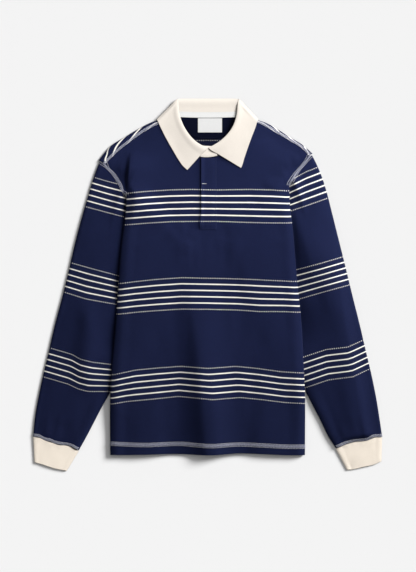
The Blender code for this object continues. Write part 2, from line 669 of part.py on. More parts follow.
def build():
    for item in list(bpy.data.objects):
        bpy.data.objects.remove(item)
    navy, cream, white = (0.013, 0.018, 0.06), (0.88, 0.8, 0.68), (0.85, 0.85, 0.84)
    sheet("front", *front_panel(), WALL, navy)
    sheet("back", *back_panel(), WALL, navy)
    for side, word in ((-1, "left"), (1, "right")):
        sheet("sleeve_" + word, sleeve_grid(side)[:, ::side], None, WALL, navy)
        sheet("cuff_" + word, cuff_grid(side)[:, ::side], None, RIB, cream)
    stand, fall = collar_grids()
    sheet("collar_stand", stand, None, RIB, cream)
    sheet("collar_fall", fall, None, RIB, cream)
    under_band, over_band = placket_grids()
    sheet("placket_under", under_band, None, WALL, navy)
    sheet("placket_over", over_band, None, WALL, navy)
    sheet("half_moon", half_moon_grid(), None, 0.8, navy)
    sheet("neck_tape", tape_grid(), None, 0.6, white)
    sheet("neck_label", label_grid(), None, 0.5, white)


build()
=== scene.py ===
import math
from functools import partial

import bpy
import numpy as np
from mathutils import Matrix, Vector


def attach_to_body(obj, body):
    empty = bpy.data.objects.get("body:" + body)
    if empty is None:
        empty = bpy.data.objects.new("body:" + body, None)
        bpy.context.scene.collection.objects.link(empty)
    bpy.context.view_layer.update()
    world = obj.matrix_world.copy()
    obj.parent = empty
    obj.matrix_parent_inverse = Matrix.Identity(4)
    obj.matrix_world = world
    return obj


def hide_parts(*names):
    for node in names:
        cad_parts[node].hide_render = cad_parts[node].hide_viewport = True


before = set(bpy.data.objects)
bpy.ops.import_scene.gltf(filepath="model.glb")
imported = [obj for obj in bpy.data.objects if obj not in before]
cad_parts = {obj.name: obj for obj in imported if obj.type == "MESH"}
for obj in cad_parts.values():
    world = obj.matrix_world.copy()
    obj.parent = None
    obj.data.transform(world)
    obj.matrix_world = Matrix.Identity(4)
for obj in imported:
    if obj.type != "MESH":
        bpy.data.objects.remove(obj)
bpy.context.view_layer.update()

print("frame loaded")

# A long-sleeved rugby shirt lying face up, its sides and the inner sleeves tucked under the body.
# Forms are worked out in millimetres, X across, Y towards the collar, Z up, and become metres at the end.
mm = 0.001
centre = np.array([1.1, -3.8, 0.0])     # moves the whole onto the middle of its box
cloth = dict(jersey=1.2, rib=1.6, tape=0.6, label=0.5, facing=0.8, air=0.4, seam=0.3)
pitch = cloth["jersey"] + cloth["air"]  # from one lying layer to the next


def smooth(t):
    t = np.clip(t, 0.0, 1.0)
    return t * t * (3.0 - 2.0 * t)


def unit(v):
    length = np.linalg.norm(v, axis=-1, keepdims=True)
    return v / np.where(length > 1e-9, length, 1.0)


def curved(a, b, p, q, t):
    # between two points, with the slope at each
    return a + t * (p + t * (3 * (b - a) - 2 * p - q + t * (2 * (a - b) + p + q)))


def arcRun(net, axis=0, zero=0):
    # length along one axis, counted from one of its lines
    gaps = np.linalg.norm(np.diff(net, axis=axis), axis=-1)
    run = np.concatenate([np.zeros_like(np.take(gaps, [0], axis)), np.cumsum(gaps, axis)], axis)
    return run - np.take(run, [zero], axis)


def through(rows, at):
    # the values of a table at a key, along a smooth line through its rows
    rows = np.asarray(rows, float)
    rows = rows[np.argsort(rows[:, 0])]
    keys, values = rows[:, 0], rows[:, 1:]
    slopes = np.gradient(values, keys, axis=0)
    at = np.clip(np.asarray(at, float), keys[0], keys[-1])
    i = np.clip(np.searchsorted(keys, at) - 1, 0, len(keys) - 2)
    span = (keys[i + 1] - keys[i])[..., None]
    t = (at - keys[i])[..., None] / span
    out = curved(values[i], values[i + 1], slopes[i] * span, slopes[i + 1] * span, t)
    return out[..., 0] if out.shape[-1] == 1 else out


def along(points, share):
    # points at shares of the length of a smooth line through the given ones
    points = np.asarray(points, float)
    keys = arcRun(points)
    return through(np.column_stack([keys / keys[-1], points]), share)


def refine(net, axis, step, turn=20.0):
    # more rows or columns on a smooth surface through a net, and each new one's place among the old
    lines = np.moveaxis(net, axis, 0)
    moves = np.diff(lines, axis=0)
    gaps = np.maximum(np.linalg.norm(moves, axis=-1), 1e-6)
    cosine = np.sum(unit(moves)[1:] * unit(moves)[:-1], axis=-1)
    bend = np.degrees(np.arccos(np.clip(cosine, -1, 1)))
    bend = np.concatenate([[0.0], np.percentile(bend, 70, axis=1), [0.0]])
    worst = np.maximum(bend[1:], bend[:-1])
    counts = np.maximum(np.ceil(np.percentile(gaps, 80, axis=1) / step), np.ceil(worst / turn))
    counts = np.clip(counts.astype(int), 1, 60)
    keys = np.concatenate([k + np.arange(c) / c for k, c in enumerate(counts)] + [[float(len(counts))]])
    h = gaps[..., None]
    d = moves / h
    slope = np.empty_like(lines)
    slope[1:-1] = (d[:-1] * h[1:] + d[1:] * h[:-1]) / (h[1:] + h[:-1])
    slope[0], slope[-1] = d[0], d[-1]
    i = np.minimum(keys.astype(int), len(counts) - 1)
    t = (keys - i)[:, None, None]
    made = curved(lines[i], lines[i + 1], slope[i] * h[i], slope[i + 1] * h[i], t)
    return np.moveaxis(made, 0, axis), keys


def fine(net, stepAhead, stepAcross):
    net, rowKeys = refine(net, 0, stepAhead)
    net, colKeys = refine(net, 1, stepAcross)
    return net, rowKeys, colKeys


def normals(net):
    ahead, across = np.gradient(net, axis=0), np.gradient(net, axis=1)
    return unit(np.cross(across, ahead))


def nearest(keys, value):
    return int(np.argmin(np.abs(keys - value)))


def softNoise(x, y, size, seed):
    # gentle unevenness from a few crossing waves, the same at every run
    rng = np.random.default_rng(seed)
    out = np.zeros(np.shape(x))
    for k in range(9):
        angle, phase = rng.uniform(0, np.pi), rng.uniform(0, 2 * np.pi)
        long = size * rng.uniform(0.7, 1.8)
        out = out + np.sin((x * np.cos(angle) + y * np.sin(angle)) * 2 * np.pi / long + phase)
    return out / 4.0


# One row a level. Columns: Y, half width at the fold, cloth turned under past the fold.
sideFold = {
    -1: [(190.6, 170.4, 3.5), (140.6, 173.9, 64), (96.9, 180.2, 118),
         (40.6, 185.2, 114), (-11.5, 188.9, 109), (-105.2, 195.4, 101),
         (-180.2, 202.7, 94), (-230.2, 204.8, 89), (-298.9, 204.8, 84), (-351, 204.3, 80)],
    1: [(213.5, 168.5, 3.5), (158.1, 171.4, 72), (113.5, 177.3, 118),
        (65.6, 181.4, 115), (13.5, 185.2, 111), (-80.2, 194.8, 102),
        (-155.2, 198.5, 96), (-230.2, 201.8, 89), (-298.9, 201.8, 84), (-351, 201.4, 80)],
}
foldTop = {-1: 190.6, 1: 213.5}     # where the side fold begins
# Lines under the body where the sleeve's inner edge and the turned-in sides end: Y, half width.
sleeveUnder = {
    -1: [(284.3, 273), (190.6, 170.4), (96.9, 67.3), (-69.8, 131.9), (-220.8, 204.3), (-340.6, 268.3),
         (-382.2, 290.2)],
    1: [(305.2, 265), (213.5, 168.5), (105.2, 67.3), (-61.4, 130.6), (-219.8, 199.3), (-336.4, 257.7),
        (-382.2, 282.7)],
}
flapUnder = {
    -1: [(284.3, 273), (190.6, 170.4), (96.9, 67.3), (-351, 138.1), (-382.2, 142.3)],
    1: [(305.2, 265), (213.5, 168.5), (105.2, 67.3), (-351, 138.1), (-382.2, 143.1)],
}
# Armhole seam on top, from the fold up to the shoulder: X, Y.
armhole = {
    -1: [(-170.4, 190.6), (-173.9, 193.7), (-183.9, 213.7), (-196.6, 233.9), (-211.6, 250.4),
         (-225.8, 260.8)],
    1: [(168.5, 213.5), (173.9, 225), (186.6, 241.4), (201.6, 259.1), (215.2, 274.1)],
}
# Forward shoulder seam and the rolled shoulder line outside it, tip to neck: X, Y.
shoulderSeam = {
    -1: [(-212.6, 256.6), (-189.7, 279.3), (-164.5, 299.5), (-134.3, 321), (-111.4, 333.9),
         (-96.8, 339.5), (-84.3, 343.1)],
    1: [(208.9, 273.1), (194.9, 286.8), (164.7, 305.8), (131.8, 324.7), (108.1, 338.1), (95.6, 342.2),
        (83.1, 345.2)],
}
shoulderLine = {
    -1: [(-228.1, 262.9), (-204.1, 292), (-172.7, 312), (-141, 331), (-118.3, 342.2), (-102.7, 346.4),
         (-87.1, 351)],
    1: [(216.8, 276.8), (197.9, 293.9), (168.9, 311.6), (139.8, 330.4), (115, 343.1), (100, 347.4),
        (85.8, 352.2)],
}
frontNeck = {
    -1: [(-86, 345.6), (-79.8, 330.2), (-65.2, 311.4), (-42.3, 288.5), (-15.2, 271.4)],
    1: [(84.8, 347.7), (79.6, 331.2), (63.9, 311.4), (41, 288.5), (15.2, 271.4)],
}
backNeck = {
    -1: [(-85, 353.1), (-65.2, 355.2), (-42.3, 355.6), (-15.2, 355.2)],
    1: [(83.7, 354.3), (63.9, 355.2), (41, 355.6), (15.2, 355.2)],
}
body = dict(
    hem=-351.0, length=560.0, reach=185.0, shoulderRoll=2.0,
    # what the layers below add: the hem's stitches, room in a fold, more over a turned-in side, the collar
    hemLift=1.0, ease=0.6, flapEase=1.2, collarLift=2.3,
    # the front's loft: in its middle, at its sides as a share, beside the armholes; unevenness and its size
    fill=4.2, sideLoft=0.84, topLoft=2.4, uneven=0.16, unevenSize=46,
    # the placket's slot: its sides, its end, and the level of the net where it starts
    slot={-1: 17.4, 1: 15.2}, slotEnd=119.8, slotLevel=14,
    strip=8.0, flap=5, edge=8,      # narrow columns beside an armhole, and columns past a fold
    stepFront=4.2, stepBack=5.0,
    across={-1: [1, 0.836, 0.67, 0.506, 0.363, 0.2525, 0.165, 0.082, 0],
            1: [0, 0.11, 0.235, 0.37, 0.52, 0.67, 0.84, 1]},
    levels=[0, 0.03, 0.08, 0.14, 0.21, 0.28, 0.35, 0.42, 0.49, 0.56, 0.63, 0.69, 0.745, 0.8, 0.8513, 0.895,
            0.93, 0.955, 0.972, 0.984, 0.993, 1],
    rises=[0.14, 0.3, 0.48, 0.66, 0.83, 1],
    # loft of the front over the back down its length: Y, full loft
    loft=[(-351, 2.8), (-320, 4.4), (-250, 6.5), (0, 7.8), (120, 8.0), (230, 7.8), (300, 6.5)],
    # soft rolls: X at the hem and at the top, Y where it fades and how fast, height, widths left and right
    rolls=[(0, -50, -60, 60, 5.0, 28, 48), (-126, -96, -250, 80, 1.6, 30, 40),
           (140, 118, -180, 90, 1.4, 40, 40)],
)
edge = body["edge"]
middleColumn = edge + 9             # the net's column down the middle front
shoulderEnd = edge + 3              # the column where a shoulder ends at the neck
footRow = len(body["levels"]) - 1   # the row at the armholes' foot
topRow = footRow + len(body["rises"])


def half(rows, y, column=1):
    rows = np.asarray(rows, float)
    return through(rows[:, [0, column]], y)


def under(rows, x, y, side):
    # 0 to 1: how fully a tucked layer holds up what lies over it
    rows = np.asarray(rows, float)[::-1]
    edge = np.interp(y, rows[:, 0], rows[:, 1])
    above = 1.0 - smooth((y - foldTop[side] + 6.0) / 44.0)
    return above * smooth(((side * x - edge) * 0.8 + 42.0) / 30.0)


def layers(x, y):
    # shares of the tucked sleeves, the turned-in sides and the back of the collar under a point
    sleeve = sum(under(sleeveUnder[s], x, y, s) for s in (-1, 1))
    flap = sum(under(flapUnder[s], x, y, s) for s in (-1, 1))
    collar = smooth((y - 286.4) / 48.0) * smooth((140.0 - np.abs(x)) / 30.0)
    return sleeve, flap, collar


def hemLift(y):
    # the hem's own stitches carry it
    return body["hemLift"] * smooth((-295.0 - y) / 40.0)


def zBack(x, y):
    sleeve, flap, collar = layers(x, y)
    folded = 2 * pitch * sleeve + (2 * pitch + body["ease"] + body["flapEase"]) * flap
    return cloth["jersey"] / 2 + hemLift(y) + folded + body["collarLift"] * collar


def zReturn(x, y, layer):
    # middle height of a panel's turned-in side
    over = pitch + body["ease"] if layer == "back" else 0.0
    return cloth["jersey"] / 2 + hemLift(y) + 2 * pitch * layers(x, y)[0] + over


def edgeDistance(x, y):
    # how far inside the nearer side, armhole or shoulder seam a point of the front lies
    found = np.full(np.shape(x), 1e3)
    for s in (-1, 1):
        arm = np.asarray(armhole[s])
        up = np.interp(y, arm[:, 1], s * arm[:, 0])
        side = np.where(y > foldTop[s], up, half(sideFold[s], y)) - s * x
        a, b = np.asarray(shoulderSeam[s][0]), np.asarray(shoulderSeam[s][-1])
        d = (b - a) / np.linalg.norm(b - a)
        slope = np.abs((x - a[0]) * d[1] - (y - a[1]) * d[0])
        slope = np.where((x - a[0]) * s * -1 < 0, 1e3, slope)
        found = np.minimum(found, np.minimum(side, np.where(y > foldTop[s] - 60, slope, 1e3)))
    return np.maximum(found, 0.0)


def loft(x, y):
    d = edgeDistance(x, y)
    top = smooth((y - 130.0) / 60.0)
    full = through(body["loft"], y)
    side = body["topLoft"] * top + body["sideLoft"] * full * (1 - top)
    out = side + (full - side) * smooth(d / 40.0)
    for low, high, fade, length, tall, left, right in body["rolls"]:
        middle = low + (high - low) * (y - body["hem"]) / body["length"]
        width = np.where(x < middle, left, right)
        here = tall * np.exp(-((x - middle) / width) ** 2) * smooth((fade + length - y) / length)
        out = out + here * smooth(d / 40.0)
    return out


def zFront(x, y):
    return zBack(x, y) + pitch + loft(x, y)


zPanel = dict(front=zFront, back=zBack)


def foldShape(side, y, layer):
    # radius of a panel's side fold, and how far its centre lies from the middle
    xf = half(sideFold[side], y)
    rise = float(smooth((y - foldTop[side] + 60.0) / 36.0))
    inset = cloth["jersey"] * 0.5 if layer == "front" else 2.5 * cloth["jersey"] + 1.5 * rise
    z = zPanel[layer]
    main = z(side * (xf - inset - 3.0), y)
    radius = float(main - zReturn(side * (xf - 5.0), y, layer)) / 2
    return radius, xf - inset - radius


def sideStrip(side, y, layer):
    # the columns past the fold at one level: distance from the middle, and height
    z = zPanel[layer]
    outer, xo = foldShape(side, y, "front")
    radius, xc = foldShape(side, y, layer)
    end, flap = half(sideFold[side], y, 2), body["flap"]
    start = min(0.0, end - body["strip"])
    turn = np.pi * outer
    s = [start + min(k * turn / 3, (end - start) * k / edge) for k in (1, 2, 3)]
    s += [s[2] + (end - s[2]) * k / flap for k in range(1, flap + 1)]
    if layer == "back":
        tight = 0.7 if end < turn else 1
        s = [d * radius / outer * tight if d <= turn else np.pi * radius + d - turn + xc - xo for d in s]
        s[-1] -= min(3.0, (s[-1] - s[-2]) / 3)
    out = []
    for d in s:
        if d <= 0:
            out.append((xc + d, z(side * (xc + d), y)))
        elif d < np.pi * radius:
            high = z(side * xc, y) - radius * (1 - np.cos(d / radius))
            out.append((xc + radius * np.sin(d / radius), high))
        else:
            x = xc - (d - np.pi * radius)
            out.append((x, zReturn(side * x, y, layer)))
    return xc + start, out


def bodyRow(v, layer):
    # one level of a body panel, from the left end of the cloth to the right
    z = zPanel[layer]
    hem, slot, reach = body["hem"], body["slot"], body["reach"]
    ends = {s: hem + v * (foldTop[s] - hem) for s in (-1, 1)}
    row = []
    for s in (-1, 1):
        fold, strip = sideStrip(s, ends[s], layer)
        main = [slot[s] + c * (fold - slot[s]) for c in body["across"][s]]
        xs = [x for x, _ in strip][::-1] + main if s < 0 else [0.0] + main + [x for x, _ in strip]
        zs = [h for _, h in strip]
        for k, x in enumerate(xs):
            x = s * x
            y = ends[-1] + np.clip((x + reach) / (2 * reach), 0, 1) * (ends[1] - ends[-1])
            n = k if s < 0 else k - 1 - len(main)
            past = n < edge if s < 0 else n >= 0
            row.append((x, y, (zs[edge - 1 - n] if s < 0 else zs[n]) if past else float(z(x, y))))
    return np.array(row)


def inward(side, depth):
    # steps from the rolled shoulder line towards the front's shoulder seam
    shares = np.linspace(0, 1, shoulderEnd + 1)
    out = along(shoulderLine[side], shares)
    into = along(shoulderSeam[side], shares) - out
    length = np.linalg.norm(into, axis=1)[:, None]
    if depth == "seam":
        return into * (1 - (cloth["seam"] + 0.6) / length)
    return into / length * np.minimum(depth, length * 0.6)


def upperRows(low, layer):
    # the levels from the armholes' foot to the shoulders and the neck
    line = shoulderSeam if layer == "front" else shoulderLine
    neck = frontNeck if layer == "front" else backNeck
    z = zPanel[layer]
    high, ends = {}, {}
    for s in (-1, 1):
        seam = along(line[s], np.linspace(0, 1, shoulderEnd + 1))
        if layer == "back":
            seam = seam + inward(s, body["shoulderRoll"] + cloth["jersey"] / 2)
        cells = 5 if s < 0 else 4
        high[s] = np.vstack([seam, along(neck[s], np.linspace(0, 1, cells + 1))[1:]])
        ends[s] = [low[0, :2] if s < 0 else low[-1, :2]] + list(armhole[s][1:-1]) + [seam[0]]
    top = np.vstack([high[-1], [(0.0, high[-1][-1, 1])], high[1][::-1]])
    low = low[:, :2]
    span = low[:, 0] - low[0, 0]
    f = (span / span[-1])[:, None]
    rows = []
    for w in body["rises"]:
        row = (1 - w) * low + w * top
        row = row + (1 - f) * (along(ends[-1], w) - row[0]) + f * (along(ends[1], w) - row[-1])
        row[middleColumn - 1:middleColumn + 2, 0] = -body["slot"][-1], 0.0, body["slot"][1]
        rows.append(np.column_stack([row, z(row[:, 0], row[:, 1])]))
    return rows


def bodyNet(layer):
    rows = [bodyRow(v, layer) for v in body["levels"]]
    return np.array(rows + upperRows(rows[-1], layer))


# Folds as ridges (or troughs) from their lower to their upper end. Columns: X, Y, X, Y, sideways bow,
# height, width on the left and on the right, and the lengths over which it fades in and out.
creases = {
    "front": [
        (-0.6, -365.6, -29.8, -7.3, 0, 6.0, 20, 50, 1, 150),
        (11.9, -365.6, -0.6, -132.3, 2, 3.4, 40, 21, 1, 120),
        (-63.1, -365.6, -73.5, -90.6, 3, -1.6, 26, 20, 1, 130),
        (-146.4, -365.6, -136, -178.1, 2, 2.2, 28, 46, 1, 120),
        (111.9, -365.6, 124.4, -132.3, -4, 1.1, 34, 30, 1, 140),
        (57.7, -365.6, 80.6, -226, 4, -0.9, 22, 30, 1, 90),
        (-31.9, -90.6, -46.5, 169.8, 3, 3.2, 24, 62, 90, 110),
        (111.9, -28.1, 116, 169.8, 2, 1.3, 24, 30, 90, 80),
        (-169.3, 126, -157.9, 292.7, -4, 7.4, 4.5, 46, 50, 50),
        (-172.5, 151, -166.2, 271.8, -4, -2.8, 6, 4, 30, 40),
        (174.3, 188.5, 163.9, 292.7, 5, -1.3, 12, 10, 40, 60),
        (-171.4, 134.4, -100.6, 209.3, 6, 0.9, 9, 11, 20, 70),
        (-167.3, 76, -88.1, 126, 5, 0.6, 10, 12, 25, 80),
        (172.3, 142.7, 111.9, 213.5, -6, 0.8, 10, 9, 20, 60),
        (170.2, 84.4, 99.4, 130.2, -4, 0.6, 12, 10, 25, 70),
        (-188.1, -111.4, -129.8, -53.1, 8, 0.8, 14, 14, 30, 70),
        (195.2, -136.4, 141, -73.9, -8, 0.7, 14, 14, 30, 60),
        (32.7, 113.5, 47.3, 230.2, 4, 0.9, 12, 18, 40, 50),
        (-46.5, 96.9, -58.9, 217.7, -3, 0.7, 14, 12, 40, 60),
        (-188.1, -278.1, -152.7, -232.3, 4, 0.7, 12, 12, 20, 50),
    ],
    "back": [
        (30, -351, 44, -120, 6, 0.7, 26, 22, 1, 120),
        (-62, -300, -70, -90, -5, 0.6, 20, 26, 60, 120),
        (-20, 40, 8, 230, 8, 0.7, 22, 26, 70, 90),
    ],
    "left": [
        (-296.4, -303.1, -267.2, -198.9, 3, 1.6, 20, 16, 30, 60),
        (-256.8, -236.4, -244.3, 3.1, -2, 6.4, 25, 24, 60, 80),
        (-292.2, -140.6, -263.1, -28.1, 5, -1.2, 14, 13, 50, 60),
        (-240.2, -28.1, -217.3, 155.2, 5, 1.1, 18, 20, 60, 90),
        (-267.2, 51, -231.8, 169.8, -4, 0.9, 14, 16, 50, 60),
        (-215.2, 51, -192.3, 151, 3, 0.8, 12, 12, 40, 50),
        (-317.2, -319.7, -306.8, -257.3, 2, 0.9, 8, 9, 2, 45),
        (-336, -311.4, -325.6, -244.8, -2, 0.8, 9, 8, 2, 50),
        (-279.7, -332.2, -271.4, -278.1, 2, 0.9, 7, 9, 2, 40),
    ],
    "right": [
        (326.4, -319.7, 251.4, 113.5, -2, 7.8, 45, 17, 12, 70),
        (266, -107.3, 178.5, 169.8, 4, 7.0, 30, 40, 90, 90),
        (299.3, -319.7, 270.2, -153.1, 4, 1.2, 16, 18, 10, 100),
        (253.5, -90.6, 216, 76, -6, -1.2, 16, 16, 80, 80),
        (203.5, 76, 191, 180.2, -3, 0.8, 12, 14, 50, 40),
        (320.2, -319.7, 307.7, -253.1, -2, -1.0, 7, 8, 2, 60),
        (282.7, -332.2, 270.2, -273.9, 2, 0.8, 8, 8, 2, 50),
        (236.8, 230.2, 224.3, 263.5, 1, 0.8, 10, 10, 20, 20),
    ],
}


def folds(name, x, y):
    # height that the named panel's folds add
    out = np.zeros(np.shape(x))
    for xa, ya, xb, yb, bow, tall, left, right, fadeIn, fadeOut in creases[name]:
        length = math.hypot(xb - xa, yb - ya)
        dx, dy = (xb - xa) / length, (yb - ya) / length
        run = (x - xa) * dx + (y - ya) * dy
        share = np.clip(run / length, 0, 1)
        off = (x - xa) * dy - (y - ya) * dx - bow * 4 * share * (1 - share)
        width = np.where(off < 0, left, right)
        fade = smooth(run / fadeIn) * smooth((length - run) / fadeOut)
        out = out + tall * np.exp(-(off / width) ** 2) * fade
    return out


def frontRise(x, y):
    # what folds, unevenness and the filled middle add to the front's height
    fill = body["fill"] * (1 - np.clip(layers(x, y)[1], 0, 1)) * (1 - smooth((y - 150.0) / 80.0))
    fill = fill * (0.4 + 0.6 * smooth((y - body["hem"]) / 90.0))
    uneven = body["uneven"] * softNoise(x, y, body["unevenSize"], 3)
    return smooth(edgeDistance(x, y) / 22.0) * (folds("front", x, y) + uneven + fill)


def zTop(x, y):
    return zFront(x, y) + frontRise(x, y)


# Millimetres down the cloth of the dashed lines, and their lines across the shirt: X, Y from left to right.
stripeMarks = [0.0, 65.8, 186.4, 252.2, 372.9, 438.7]
stripeLines = {
    "body": [
        [(-163.5, 194.8), (-128.1, 198.1), (-80.8, 201), (-34, 202.1), (18.1, 201), (84.8, 202.1),
         (132.7, 201), (163.9, 199.1)],
        [(-174.6, 128.1), (-128.1, 131.9), (-80.8, 134.8), (-34, 135.6), (18.1, 135.6), (84.8, 133.3),
         (132.7, 132.3), (172.3, 132.3)],
        [(-187.3, 5.4), (-151.6, 10.2), (-104.8, 15), (-56.9, 18.3), (-9.8, 17.3), (36.9, 16.5),
         (84.8, 15), (132.7, 12.5), (182.7, 10.2)],
        [(-192.3, -58.3), (-151.6, -53.7), (-104.8, -50), (-56.9, -47.1), (-0.6, -47.5), (61.9, -49),
         (107.7, -52.3), (155.6, -52.3), (188.9, -53.7)],
        [(-202.9, -185.4), (-151.6, -174.3), (-104.8, -169.8), (-56.9, -166.4), (-0.6, -171), (56.7, -166.4),
         (103.5, -171), (151.4, -177.7), (198.5, -180.6)],
        [(-202.9, -245.4), (-171.4, -239.8), (-113.9, -234.5), (-61.9, -228.9), (9.2, -236), (66, -231.2),
         (113.3, -236), (160.8, -242), (201, -243.9)],
    ],
    -1: [
        [(-239.5, 227.7), (-209.1, 218.7), (-188.9, 213.7)],
        [(-255.8, 166.4), (-217.3, 156), (-177.7, 145.6)],
        [(-285, 49), (-240.8, 36.5), (-187.9, 22.5)],
        [(-300.2, -11.7), (-253.5, -26.2), (-195.4, -36.5)],
        [(-329.1, -128.5), (-283.7, -141.6), (-266, -151.9), (-240.8, -158.1), (-205.4, -162.3)],
        [(-343.1, -188.3), (-291.2, -203.5), (-271, -213.5), (-250.8, -218.7), (-210.6, -218.7)],
    ],
    1: [
        [(180.2, 226.2), (204.1, 238.9), (229.5, 248.9)],
        [(172.7, 157.5), (209.3, 170), (248.3, 183.9)],
        [(184.8, 35), (237.7, 49), (279.3, 61.4)],
        [(189.8, -26), (237.7, -12.1), (294.5, 3.5)],
        [(197.3, -147.5), (245.2, -131.6), (290.8, -126.4), (323.5, -111.4)],
        [(203.7, -210.6), (250.4, -194.6), (300.8, -188.3), (336.2, -171.8)],
    ],
}
# On the back of the neck one more group shows: Y of its two dashed lines at the middle, and their curve.
neckGroup = dict(marks=[-186.4, -120.6], middle=[370.8, 304.3], curve=-0.000614, above=-104.0,
                 tip=-123.5)
# Level along the forward shoulder seam on the back's cloth: share from the tip to the neck, level.
shoulderLevels = {
    -1: [(0, -133.7), (0.13, -147.1), (0.40, -160.4), (1.0, -186)],
    1: [(0, -133.7), (0.12, -147.1), (0.30, -160.4), (1.0, -190)],
}


def lineHeight(points, x):
    # Y of a line across at X, straight on past both ends
    points = np.array(sorted(points), float)
    out = np.interp(x, points[:, 0], points[:, 1])
    for end, mate in ((0, 1), (-1, -2)):
        slope = (points[end, 1] - points[mate, 1]) / (points[end, 0] - points[mate, 0])
        beyond = x < points[0, 0] if end == 0 else x > points[-1, 0]
        out = np.where(beyond, points[end, 1] + slope * (x - points[end, 0]), out)
    return out


def level(x, y, lines, neck=False):
    # millimetres down the cloth at a place in the plan
    heights = [lineHeight(points, x) for points in stripeLines[lines]]
    marks = list(stripeMarks)
    if neck:
        extra = [m + neckGroup["curve"] * x ** 2 for m in neckGroup["middle"]]
        heights, marks = extra + heights, neckGroup["marks"] + marks
    out = marks[0] + (heights[0] - y)
    for k in range(len(marks) - 1):
        share = (heights[k] - y) / (heights[k] - heights[k + 1])
        out = np.where(share > 0, marks[k] + share * (marks[k + 1] - marks[k]), out)
    out = np.where(y < heights[-1], marks[-1] + (heights[-1] - y), out)
    return out if neck else np.maximum(out, neckGroup["above"])


def addNode(tree, kind, inputs=(), **settings):
    # the outputs of a new node, its inputs set to values or linked to other nodes
    made = tree.nodes.new(kind)
    for label, value in settings.items():
        setattr(made, label, value)
    for label, value in dict(inputs).items():
        if isinstance(value, bpy.types.NodeSocket):
            tree.links.new(value, made.inputs[label])
        else:
            made.inputs[label].default_value = value
    return made.outputs


def calc(operation, *values):
    # a Math node in the tree of the first value that isn't a number
    tree = next(v for v in values if isinstance(v, bpy.types.NodeSocket)).id_data
    return addNode(tree, "ShaderNodeMath", dict(enumerate(values)), operation=operation)[0]


add, sub, mul, div = (partial(calc, word) for word in ("ADD", "SUBTRACT", "MULTIPLY", "DIVIDE"))
mulAdd, above, below = (partial(calc, word) for word in ("MULTIPLY_ADD", "GREATER_THAN", "LESS_THAN"))


def sine(turns):
    return calc("SINE", mul(turns, 2 * math.pi))


def fade(value, low, high, toLow=0.0, toHigh=1.0, form="SMOOTHSTEP"):
    inputs = {"Value": value, "From Min": low, "From Max": high, "To Min": toLow, "To Max": toHigh}
    return addNode(value.id_data, "ShaderNodeMapRange", inputs, interpolation_type=form)["Result"]


def noise(vector, scale, detail=3.0, rough=0.6):
    inputs = dict(Vector=vector, Scale=scale, Detail=detail, Roughness=rough)
    return addNode(vector.id_data, "ShaderNodeTexNoise", inputs)["Fac"]


def split(vector):
    return addNode(vector.id_data, "ShaderNodeSeparateXYZ", {0: vector})


def mix(share, low, high, blend="MIX"):
    inputs = {0: share, 6: (*low, 1.0) if isinstance(low, tuple) else low, 7: high}
    return addNode(high.id_data, "ShaderNodeMix", inputs, data_type="RGBA", blend_type=blend)[2]


def shaded(colour, factor):
    return mix(1.0, colour, factor, "MULTIPLY")


def addSockets(tree, way, **sockets):
    # sockets with their usual values; a word gives the form of one that has none
    for label, value in sockets.items():
        form = {float: "Float", int: "Int"}.get(type(value), value)
        made = tree.interface.new_socket(name=label, in_out=way, socket_type="NodeSocket" + form)
        if form != value:
            made.default_value = value


def shaderGroup(name, work, **inputs):
    # a node group; from its inputs work() makes its outputs by name
    tree = bpy.data.node_groups.new(name, "ShaderNodeTree")
    addSockets(tree, "INPUT", **inputs)
    given = addNode(tree, "NodeGroupInput")
    results = work(*[given[label] for label in inputs])
    addSockets(tree, "OUTPUT", **dict.fromkeys(results, "Float"))
    addNode(tree, "NodeGroupOutput", results)
    return tree


# Metres down the cloth and along a line; shares and softness of what is drawn.
stripes = dict(repeat=0.1864, start=0.006, first=0.0127, spacing=0.01333, halfSolid=0.00140, farDash=0.0658,
               halfDash=0.00100, dashLength=0.00468, dashShare=0.36, soft=0.00015, dashSoft=0.0004, groups=3)


def stripeMask(cloth, wander):
    # mask of the knitted-in lines from metres across and down the cloth
    across, down, _ = split(cloth)
    first, spacing, soft = stripes["first"], stripes["spacing"], stripes["soft"]
    down = add(down, mul(sub(noise(cloth, 420.0, 2.0, 0.5), 0.5), wander))
    group = calc("FLOOR", div(add(down, stripes["start"]), stripes["repeat"]))
    place = sub(down, mul(group, stripes["repeat"]))
    shown = mul(above(group, -1.5), below(group, stripes["groups"] - 0.5))

    def band(value, half, soft):
        return fade(value, half - soft / 2, half + soft / 2, 1.0, 0.0)

    # four even solid lines between two dashed ones
    solid = band(calc("PINGPONG", sub(place, first), spacing / 2), stripes["halfSolid"], soft)
    inside = mul(above(place, first - spacing / 2), below(place, first + spacing * 3.5))
    nearer = calc("MINIMUM", calc("ABSOLUTE", place), calc("ABSOLUTE", sub(place, stripes["farDash"])))
    row = band(nearer, stripes["halfDash"], soft)
    beat = calc("PINGPONG", across, stripes["dashLength"] / 2)
    dash = band(beat, stripes["dashLength"] / 2 * stripes["dashShare"], stripes["dashSoft"])
    dash = mul(mul(row, dash), shown)
    return dict(Line=calc("MAXIMUM", mul(mul(solid, inside), shown), dash), Dash=dash)


def knitLoops(cloth, wale, course, slant):
    # height and shade of knitted loops, V after V down each wale
    across, down, _ = split(cloth)
    slip = calc("PINGPONG", div(across, wale), 0.5)
    loop = mulAdd(sine(add(div(down, course), mul(slip, slant))), 0.5, 0.5)
    height = mul(calc("ABSOLUTE", sine(slip)), mulAdd(loop, 0.6, 0.4))
    height = mulAdd(noise(cloth, 1500.0), 0.35, height)
    return dict(Height=height, Shade=fade(height, 0.1, 1.1, 0.78, 1.14, "LINEAR"))


